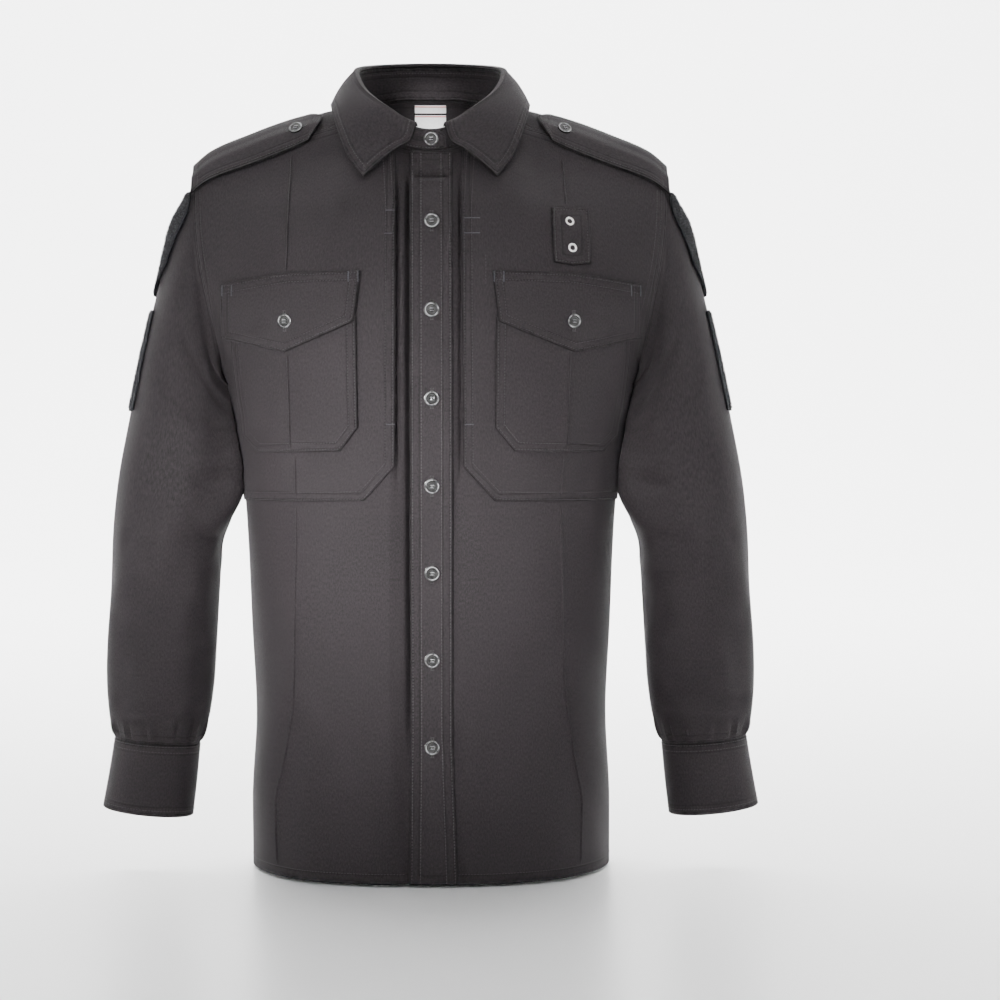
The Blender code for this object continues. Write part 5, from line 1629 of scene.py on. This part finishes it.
# Buttons on their seats
for i in range(PLACKET_BUTTONS):
    z = FIRST_BUTTON_Z - BUTTON_PITCH * i
    point, normal = on_body(FRONT, BUTTON_X, z, PLACKET_LIFT + DOUBLE_CLOTH + SEAT_GAP)
    turn = chance.uniform(0, 0.4)
    sewn_button(f"placket_button_{i + 1}", BUTTON, point, normal, BUTTON_RADIUS, "button_thread", turn)
    buttonhole(BUTTON_X, z, PLACKET_LIFT + DOUBLE_CLOTH)
neck_front = -float(body(FRONT, 0, NECK_FRONT_Z)[0][1])
stand_y = -(neck_front + FOLD_FRONT) / 2 - STAND_OVERLAP - DOUBLE_CLOTH / 2 - 0.0004
point, normal = (0.0005, stand_y, -0.0330), (0, -1, 0.16)
sewn_button("stand_button", BUTTON, point, normal, SMALL_BUTTON_RADIUS, "button_thread")
for i, (x, z) in enumerate([(0.1325, -0.1150), (0.1350, -0.1400)]):
    point, normal = on_body(FRONT, x, z, TAB_LIFT + DOUBLE_CLOTH + 0.0002)
    seated(f"eyelet_{i + 1}", EYELET, point, normal, 0.0050)
for end, sign, spread, shift in SIDES:
    x = sign * (CHEST_BUTTON_X + shift)
    point, normal = on_body(FRONT, x, CHEST_BUTTON_Z, FLAP_LIFT + DOUBLE_CLOTH + SEAT_GAP)
    sewn_button(f"pocket_button_{end}", BUTTON, point, normal, SMALL_BUTTON_RADIUS, "button_thread")
    x, turn = 0.1305, -0.40
    drop = float(ridge_z(x) - rolled(x, turn)[1])
    point, normal = over_shoulder(x, turn, strap_lift(drop) + DOUBLE_CLOTH + SEAT_GAP, sign)
    sewn_button(f"epaulette_button_{end}", BUTTON, point, normal, SMALL_BUTTON_RADIUS, "button_thread")
    point, normal = on_arm(0.5, 310, SEAT_GAP, sign, tube=CUFF_GRID)
    sewn_button(f"cuff_button_{end}", BUTTON, point, normal, SMALL_BUTTON_RADIUS, "button_thread")
bpy.data.objects.remove(BUTTON)
bpy.data.objects.remove(EYELET)

# Sewn-in creases, down the front and the back
CREASE_TOP = [(0.1349, -0.0469), (0.1362, -0.1040), (0.1378, -0.1617)]
CREASE_POCKET = [(0.1359, -0.2392), (0.1342, -0.2880), (0.1330, -0.3340)]
CREASE_GAP = [(0.1311, -0.3375), (0.1292, -0.3800)]
CREASE_LOW = [(0.1302, -0.3870), (0.1302, -0.4192), (0.1311, -0.4775), (0.1321, -0.5216), (0.1330, -0.5512),
              (0.1359, -0.5905), (0.1378, -0.6019), (0.1416, -0.6278), (0.1445, -0.6440), (0.1500, -0.6689),
              (0.1515, -0.6785), (0.1508, -0.7082), (0.1500, -0.7420)]
CREASE_WIDTH = 0.0024
CREASE_HEIGHT = 0.0015
CREASES = {}
for end, sign, spread, shift in SIDES:
    nudge = -0.004 if end == "left" else 0
    runs = [("top", CREASE_TOP, OVERLAY_LIFT + CLOTH), ("pocket", CREASE_POCKET, POCKET_LIFT + CLOTH),
            ("gap", CREASE_GAP, OVERLAY_LIFT + CLOTH), ("low", CREASE_LOW, 0.0)]
    for part, corners, lift in runs:
        if end == "left" and part == "top":
            pieces = [[(0.1322, -0.0507), (0.1345, -0.0990)], [(0.1380, -0.1560), (0.1370, -0.1640)]]
        else:
            pieces = [corners]
        for number, corners in enumerate(pieces):
            way = trace([(x + nudge, z) for x, z in corners], 0.002)
            ridge = on_body(FRONT, way[:, 0] * sign, way[:, 1], lift)
            made = welt(f"crease_{part}_{end}_{number + 1}", *ridge, CREASE_WIDTH, CREASE_HEIGHT,
                        slot=f"front_{end}")
            owner = {"top": "chest_overlay", "gap": "chest_overlay", "pocket": "pocket", "low": "front"}[part]
            CREASES.setdefault(f"{owner}_{end}", []).append(made)
for number, x in enumerate((-0.112, 0.0, 0.112)):
    way = trace([(x, BACK_SEAM_Z - 0.004), (x * 0.94, -0.42), (x * 0.98, HEM_Z + 0.004)], 0.002)
    ridge = on_body(BACK, way[:, 0], way[:, 1], 0.0)
    made = welt(f"crease_back_{number + 1}", *ridge, CREASE_WIDTH, CREASE_HEIGHT, slot="back")
    CREASES.setdefault("back", []).append(made)

# Rows of sewing
placket_top = PLACKET_LIFT + DOUBLE_CLOTH
overlay_top = OVERLAY_LIFT + CLOTH
hem_stitch_z = HEM_Z + 0.0095
sew_body("threads_placket", [(PLACKET_LEFT_X - 0.0015, HEM_Z + 0.001), (PLACKET_LEFT_X, PLACKET_FLARE_Z),
                             (PLACKET_LEFT_X, NECK_FRONT_Z - 0.002)], placket_top, offsets=(-0.0022, -0.0105))
sew_body("threads_placket", [(PLACKET_RIGHT_X + 0.0045, HEM_Z + 0.001), (PLACKET_RIGHT_X, PLACKET_FLARE_Z),
                             (PLACKET_RIGHT_X, NECK_FRONT_Z - 0.002)], placket_top, offsets=(0.0022, 0.0105))
for end, sign, spread, shift in SIDES:
    border = [(OVERLAY_EDGE_X[end] + 0.004, -0.036), *overlay_edge_corners(end)[::-1],
              (0.135, OVERLAY_LOW_Z - 0.0025), (0.176, OVERLAY_LOW_Z - 0.0045)]
    sew_body("threads_front", border, overlay_top, sign=sign, offsets=(0.0020, 0.0090))
    turns = np.linspace(side_angle(0.0255, hem_stitch_z), QUARTER - 0.02, 60)
    hem_z = np.full(60, hem_stitch_z)
    sew_body("threads_front", np.stack([at_angle(turns, hem_z), hem_z], axis=1), 0.0, sign=sign)
    side_z = np.linspace(HEM_Z + 0.004, ARMPIT_Z - 0.006, 90)
    side_x = at_angle(QUARTER - 0.115, side_z)
    sew_body("threads_front", np.stack([side_x, side_z], axis=1), 0.0, sign=sign)
    arm_z = np.linspace(ARMPIT_Z + 0.010, ARMHOLE_TOP - 0.003, 50)
    for inset in ((0.0060, 0.0105) if end == "left" else (0.0070,)):
        row = np.stack([armhole_x(arm_z) - inset, arm_z], axis=1)
        sew_body("threads_front", row, overlay_top, sign=sign)
    seam_x = np.linspace(neckline(NECK_CORNER)[0] + 0.003, float(armhole_x(ARMHOLE_TOP)) - 0.003, 60)
    for inset in (0.0022, 0.0085):
        x, z = seam_x * sign, front_seam_z(seam_x) + inset
        sew("threads_shoulders", *on_body(FRONT, x, z, THREAD_LIFT))
        back_x = np.linspace(0.0, float(armhole_x(BACK_SEAM_Z)) - 0.003, 70)
        sew("threads_shoulders", *on_body(BACK, back_x * sign, np.full(70, BACK_SEAM_Z + inset), THREAD_LIFT))
    turns = np.linspace(-float(roll_angle(armhole_x(ARMHOLE_TOP), ARMHOLE_TOP)),
                        float(roll_angle(armhole_x(BACK_SEAM_Z), BACK_SEAM_Z)), 60)
    ring_x = np.array([float(armhole_x(rolled(0.233, t)[1])) for t in turns])
    sew("threads_shoulders", *over_shoulder(ring_x - 0.0065, turns, np.full(60, THREAD_LIFT), sign))
    back_z = np.linspace(ARMPIT_Z + 0.010, BACK_SEAM_Z - 0.003, 50)
    sew("threads_back", *on_body(BACK, (armhole_x(back_z) - 0.0065) * sign, back_z, THREAD_LIFT))

    # Pockets, flaps and straps
    low, chamfer, top = (placed(row, spread, shift) for row in (POCKET_LOW, POCKET_CHAMFER, POCKET_TOP))
    outline = [top[0], chamfer[0], low[0], low[1], chamfer[1], top[1]]
    sew_body("threads_pockets", outline, POCKET_LIFT + CLOTH, sign=sign, offsets=(0.0020, 0.0082))
    low, top = placed(FLAP_LOW, spread, shift), placed(FLAP_TOP, spread, shift)
    flap_top = FLAP_LIFT + DOUBLE_CLOTH
    sew_body("threads_pockets", [top[0], *low, top[2]], flap_top, sign=sign, offsets=(0.0022, 0.0078))
    sew_body("threads_pockets", top, flap_top, sign=sign, offsets=(-0.0022, -0.0085))
    for corner, into in ((top[0], 1), (top[2], -1)):
        for off in (0.0015, 0.0105):
            x = (corner.x + into * off) * sign
            tack_body((x, corner.z - 0.001), (x, corner.z - 0.0105), flap_top)
    rows = len(STRAP) - 1
    edge = np.concatenate([np.stack([np.linspace(0.02, rows - 0.9, 60), np.full(60, 0.055)], 1),
                           np.stack([[rows - 0.18, rows - 0.18], [0.16, 0.84]], 1),
                           np.stack([np.linspace(rows - 0.9, 0.02, 60), np.full(60, 0.945)], 1)])
    fine_edge = np.stack([np.interp(np.linspace(0, len(edge) - 1, 400), np.arange(len(edge)), edge[:, k])
                          for k in range(2)], axis=1)
    strap_top = DOUBLE_CLOTH + THREAD_LIFT
    sew("threads_shoulders", *strap_at(fine_edge[:, 0], fine_edge[:, 1], strap_top, sign))
    sew("threads_shoulders", *strap_at(np.full(30, 0.28), np.linspace(0.03, 0.97, 30), strap_top, sign))
    slit = strap_at(np.linspace(4.7, 5.9, 30), np.full(30, 0.62), DOUBLE_CLOTH, sign)
    tack("buttonholes", *slit, width=0.0022)
    buttonhole(CHEST_BUTTON_X + shift, CHEST_BUTTON_Z, flap_top, sign)

    # Sleeves and cuffs
    around = np.linspace(-47, 307, 220)
    for share in (0.035, 0.135, 0.895):
        sew(f"threads_sleeve_{end}", *on_arm(np.full(220, share), around, THREAD_LIFT, sign, CUFF_GRID))
    for turn in (-47.5, -57):
        row = on_arm(np.linspace(0.03, 0.9, 40), np.full(40, turn), THREAD_LIFT, sign, CUFF_GRID)
        sew(f"threads_sleeve_{end}", *row)
    ridge = on_arm(np.linspace(0.005, 0.995, 60), np.full(60, -44.5), 0.0, sign, CUFF_GRID)
    made = welt(f"cuff_edge_{end}", *ridge, 0.0030, 0.0007, TWILL_DOUBLE, f"cuff_{end}")
    CREASES.setdefault(f"cuff_{end}", []).append(made)
    share = np.linspace(0.02, 0.985, 300)
    made = welt(f"sleeve_seam_{end}", *on_arm(share, np.full(300, 186.0), 0.0, sign), 0.0090, 0.0007,
                slot=f"sleeve_{end}")
    CREASES.setdefault(f"sleeve_{end}", []).append(made)
    for turn in (182.0, 190.0):
        sew(f"threads_sleeve_{end}", *on_arm(share, np.full(300, turn), 0.00045, sign))
    patches = [(VENT, PATCH_LIFT + DOUBLE_CLOTH, 0.09), (SHIELD, SHIELD_LIFT + LOOP_CLOTH, 0.03),
               (TAPE, PATCH_LIFT + LOOP_CLOTH, 0.045)]
    for rows_of, lift, inset in patches:
        deep = inset * 0.5 if rows_of is not SHIELD else inset
        round_down = np.concatenate([np.linspace(deep, 1 - deep, 50), np.full(30, 1 - deep),
                                     np.linspace(1 - deep, deep, 50), np.full(30, deep)])
        round_over = np.concatenate([np.full(50, inset), np.linspace(inset, 1 - inset, 30),
                                     np.full(50, 1 - inset), np.linspace(1 - inset, inset, 30)])
        where = arm_patch(rows_of, round_down, round_over)
        sew(f"threads_sleeve_{end}", *on_arm(*where, lift + THREAD_LIFT, sign))

# Badge tab, hem, back pleats and collar
sew_body("threads_pockets", [TAB_TOP[0], *TAB_LOW, TAB_TOP[2], TAB_TOP[0], TAB_LOW[0]],
         TAB_LIFT + DOUBLE_CLOTH, offsets=(0.0020,))
back_grid = GRIDS["back"][0]
width = back_grid.shape[1] - 1
middle, part = width // 2, 5 * FINE
hem_row = np.interp(hem_stitch_z, back_grid[:, middle, 2], np.arange(len(back_grid)))
for first, last in ((middle - part, middle + part), (2, part), (width - part, width - 2)):
    sew_grid("threads_back", "back", np.full(90, hem_row), np.linspace(first, last, 90))
for sign in (-1, 1):
    fold_z = np.linspace(HEM_Z + 0.012, BACK_SEAM_Z - 0.004, 120)
    fold_x = smooth(BACK_PLEAT, "edge_x", fold_z) - 0.0022
    sew("threads_back", *on_body(BACK, fold_x * sign, fold_z, THREAD_LIFT))
    side_z = np.linspace(HEM_Z + 0.004, ARMPIT_Z - 0.006, 90)
    sew("threads_back", *on_body(BACK, at_angle(QUARTER - 0.05, side_z) * sign, side_z, THREAD_LIFT))

leaf, stand = GRIDS["collar_leaf"][0], GRIDS["collar_stand"][0]
LEAF_INSET = 0.0068
edge_cols = inward(leaf, LEAF_INSET, True)
start = inward(np.swapaxes(leaf, 0, 1), LEAF_INSET, False)
stop = inward(np.swapaxes(leaf, 0, 1), LEAF_INSET, True)
inner_cols = np.linspace(9, leaf.shape[1] - 1, 40)
first = np.stack([np.interp(inner_cols, np.arange(len(start)), start), inner_cols], 1)
last = np.stack([np.interp(inner_cols, np.arange(len(stop)), stop), inner_cols], 1)
edge_rows = np.linspace(float(first[-1, 0]), float(last[-1, 0]), 400)
cols = np.interp(edge_rows, np.arange(len(leaf)), edge_cols)
first, last = first[first[:, 1] < cols[0]], last[last[:, 1] < cols[-1]]
sew_grid("threads_collar", "collar_leaf", first[:, 0], first[:, 1])
sew_grid("threads_collar", "collar_leaf", edge_rows, cols)
sew_grid("threads_collar", "collar_leaf", last[:, 0], last[:, 1])
stations = np.linspace(2, len(stand) - 3, 300)
low_cols = inward(stand, 0.0022, False)
sew_grid("threads_collar", "collar_stand", stations, np.interp(stations, np.arange(len(stand)), low_cols))
high_cols = inward(stand, 0.0050, True)
sew_grid("threads_collar", "collar_stand", stations, np.interp(stations, np.arange(len(stand)), high_cols),
         inside=DOUBLE_CLOTH)

# Bartacks on the chest
for start, end in [((-0.0431, -0.1033), (-0.0345, -0.1033)), ((-0.0440, -0.1254), (-0.0373, -0.1254)),
                   ((-0.0420, -0.3072), (-0.0345, -0.3072)), ((0.0325, -0.1110), (0.0469, -0.1110)),
                   ((0.0325, -0.1254), (0.0469, -0.1254)), ((0.0325, -0.3072), (0.0405, -0.3072))]:
    tack_body(start, end, overlay_top, width=0.0012)
sew_body("threads_front", [(0.0526, -0.1455), (0.0526, -0.1742)], overlay_top)


def bind_threads():
    """Joins each run of stitches into one piece."""
    finishes = {"bartacks_front": TACK_THREAD, "button_thread": BUTTON_THREAD, "threads_placket": PALE_THREAD}
    for name, runs in THREADS.items():
        points = np.concatenate(runs)
        first = np.arange(len(points))[:, None, None] * len(STITCH_POINTS)
        faces = []
        for size in (3, 4):
            shape = np.array([f for f in STITCH_FACES if len(f) == size])
            faces += (shape[None] + first).reshape(-1, size).tolist()
        piece = add_mesh(name, points.reshape(-1, 3), faces, finishes.get(name, THREAD))
        PIECES[name] = piece


bind_threads()

# The nap of the loop panels, and the tape's selvedges

# One loop's stations, along it and up, as shares of its length and height
NAP_SHAPE = [(-0.5, -0.1), (-0.24, 0.92), (0.24, 0.92), (0.5, -0.1)]
NAP_LENGTH = 0.0013
NAP_HEIGHT = 0.0008
NAP_HALF = 0.00013
NAP_THICK = 0.00022


def nap(name, sign, rows, lift, count):
    """Small loops of yarn standing all over a panel."""
    down, over = chance.uniform(0.02, 0.98, count), chance.uniform(0.03, 0.97, count)
    share, turn = arm_patch(rows, down, over)
    base, normals = on_arm(share, turn, lift, sign)
    points, faces = [], []
    spins, sizes = chance.uniform(0, math.pi, count), chance.uniform(0.7, 1.3, count)
    leans = chance.normal(0, 0.35, (count, 2))
    for at, normal, spin, size, lean in zip(base, normals, spins, sizes, leans):
        right = np.cross(normal, (0, 0, 1))
        right /= np.linalg.norm(right)
        up = np.cross(right, normal)
        way = right * math.cos(spin) + up * math.sin(spin)
        aside = np.cross(normal, way)
        tall = normal + way * lean[0] + aside * lean[1]
        first = len(points)
        for step, (x, z) in enumerate(NAP_SHAPE):
            middle = at + (way * x * NAP_LENGTH + tall * z * NAP_HEIGHT) * size
            points += [middle + aside * NAP_HALF, middle - aside * NAP_HALF, middle + normal * NAP_THICK]
            if step:
                b = first + step * 3
                for k in range(3):
                    n = (k + 1) % 3
                    faces.append([b - 3 + k, b - 3 + n, b + n, b + k])
        faces.append([first + 2, first + 1, first])
        faces.append([first + 9, first + 10, first + 11])
    piece = add_mesh(name, points, faces, NAP_LOOP)
    return piece


NAPS = {}
for end, sign, spread, shift in SIDES:
    shield_top, tape_top = SHIELD_LIFT + LOOP_CLOTH, PATCH_LIFT + LOOP_CLOTH
    shield = nap(f"shield_nap_{end}", sign, SHIELD, shield_top, 2600)
    NAPS[f"shield_loop_{end}"] = [shield]
    tape = [nap(f"tape_nap_{end}", sign, TAPE, tape_top, 1900)]
    for side, over in (("front", 0.965), ("rear", 0.035)):
        where = arm_patch(TAPE, np.linspace(0.01, 0.99, 50), np.full(50, over))
        ridge = on_arm(*where, tape_top, sign)
        tape.append(welt(f"selvedge_{side}_{end}", *ridge, 0.0034, 0.0005, SELVEDGE, f"tape_loop_{end}"))
    NAPS[f"tape_loop_{end}"] = tape

THREADS_ON = {"front_left": ["threads_front"], "back": ["threads_back"], "yoke": ["threads_shoulders"],
              "pocket_left": ["threads_pockets"], "collar_leaf": ["threads_collar"],
              "sleeve_left": ["threads_sleeve_left"], "sleeve_right": ["threads_sleeve_right"],
              "chest_overlay_left": ["bartacks_front"],
              "placket": ["buttonholes", "button_thread", "threads_placket"]}
for name, (wide, long, area) in SHEETS.items():
    extra = CREASES.get(name, []) + NAPS.get(name, []) + [PIECES[t] for t in THREADS_ON.get(name, [])]
    if "label" in name:
        extra = extra + [bpy.data.objects[f"{name}_cloth_edge"]]

# Floor, light and camera

FLOOR_Z = HEM_Z - 0.003


def studio_floor():
    """A pale floor that sweeps up into a backdrop."""
    bpy.ops.mesh.primitive_plane_add(size=1, location=(0, 0, 0))
    made = bpy.context.object
    made.name = "studio_floor"
    edit(made)
    bpy.ops.mesh.select_all(action="SELECT")
    bpy.ops.transform.resize(value=(14, 9, 1))
    bpy.ops.transform.translate(value=(0, -1.5, FLOOR_Z))
    bpy.ops.mesh.select_mode(type="EDGE")
    bpy.ops.object.mode_set(mode="OBJECT")
    for line in made.data.edges:
        line.select = all(made.data.vertices[v].co.y > 2.9 for v in line.vertices)
    bpy.ops.object.mode_set(mode="EDIT")
    for step in range(12):
        turn = math.radians(90 * (step + 0.5) / 12)
        bpy.ops.mesh.extrude_region_move(
            TRANSFORM_OT_translate={"value": (0, 0.32 * math.cos(turn), 0.32 * math.sin(turn))})
    bpy.ops.mesh.extrude_region_move(TRANSFORM_OT_translate={"value": (0, 0, 5)})
    bpy.ops.object.mode_set(mode="OBJECT")
    made.data.shade_smooth()
    finish, tree, shader = blank_finish("pale floor")
    place = node(tree, "ShaderNodeTexCoord", (-800, 0))
    grain = node(tree, "ShaderNodeTexNoise", (-600, 0))
    grain.inputs["Scale"].default_value = 3
    tree.links.new(place.outputs["Object"], grain.inputs["Vector"])
    tree.links.new(mix(tree, (-300, 0), grain.outputs["Fac"], (0.90, 0.90, 0.90), (0.93, 0.93, 0.93)),
                   shader.inputs["Base Color"])
    shader.inputs["Roughness"].default_value = 0.38
    made.data.materials.append(finish)
    made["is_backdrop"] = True


def aimed_light(name, kind, place, target, power, **values):
    """A light that points at a target."""
    data = bpy.data.lights.new(name, kind)
    data.energy = power
    for key, value in values.items():
        setattr(data, key, value)
    made = bpy.data.objects.new(name, data)
    made.location = place
    made.rotation_euler = (Vector(target) - Vector(place)).to_track_quat("-Z", "Y").to_euler()
    bpy.context.scene.collection.objects.link(made)


def soft_light(name, place, target, size, power):
    aimed_light(name, "AREA", place, target, power, shape="RECTANGLE", size=size[0], size_y=size[1])


def soft_spot(name, place, target, cone, radius, power):
    """A light that is brightest in its middle and dies away to its cone's edge."""
    aimed_light(name, "SPOT", place, target, power, spot_size=math.radians(cone), spot_blend=1.0,
                shadow_soft_size=radius)


studio_floor()
world = bpy.data.worlds.new("white room")
bpy.context.scene.world = world
world.use_nodes = True
world.node_tree.nodes["Background"].inputs["Color"].default_value = (1, 1, 1, 1)
world.node_tree.nodes["Background"].inputs["Strength"].default_value = 0.25
soft_light("key", (-1.4, -2.0, 0.30), (-0.02, 0, -0.42), (0.9, 0.9), 6)
soft_light("fill", (1.7, -2.4, -0.20), (0, 0, -0.40), (1.2, 1.4), 4)
soft_light("overhead", (0.0, 0.3, 1.9), (0, 0, -0.1), (1.6, 1.2), 4)
soft_spot("middle", (-0.8, -2.2, -0.30), (-0.02, 0, -0.39), 16, 0.12, 500)
soft_spot("neck", (0.0, -2.2, 0.25), (0.0, NECK_BACK, -0.004), 1.9, 0.02, 700)
soft_light("backdrop", (0.0, 1.6, 2.4), (0, 4.6, 0.2), (5.0, 1.0), 900)

camera = bpy.data.objects.new("camera", bpy.data.cameras.new("camera"))
bpy.context.scene.collection.objects.link(camera)
camera.location = (0, -3, -0.2)
camera.rotation_euler = (Vector((0.069, 0, -0.388)) - camera.location).to_track_quat("-Z", "Y").to_euler()
camera.data.lens = 108.2
camera.data.clip_end = 30
bpy.context.scene.camera = camera

low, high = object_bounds()
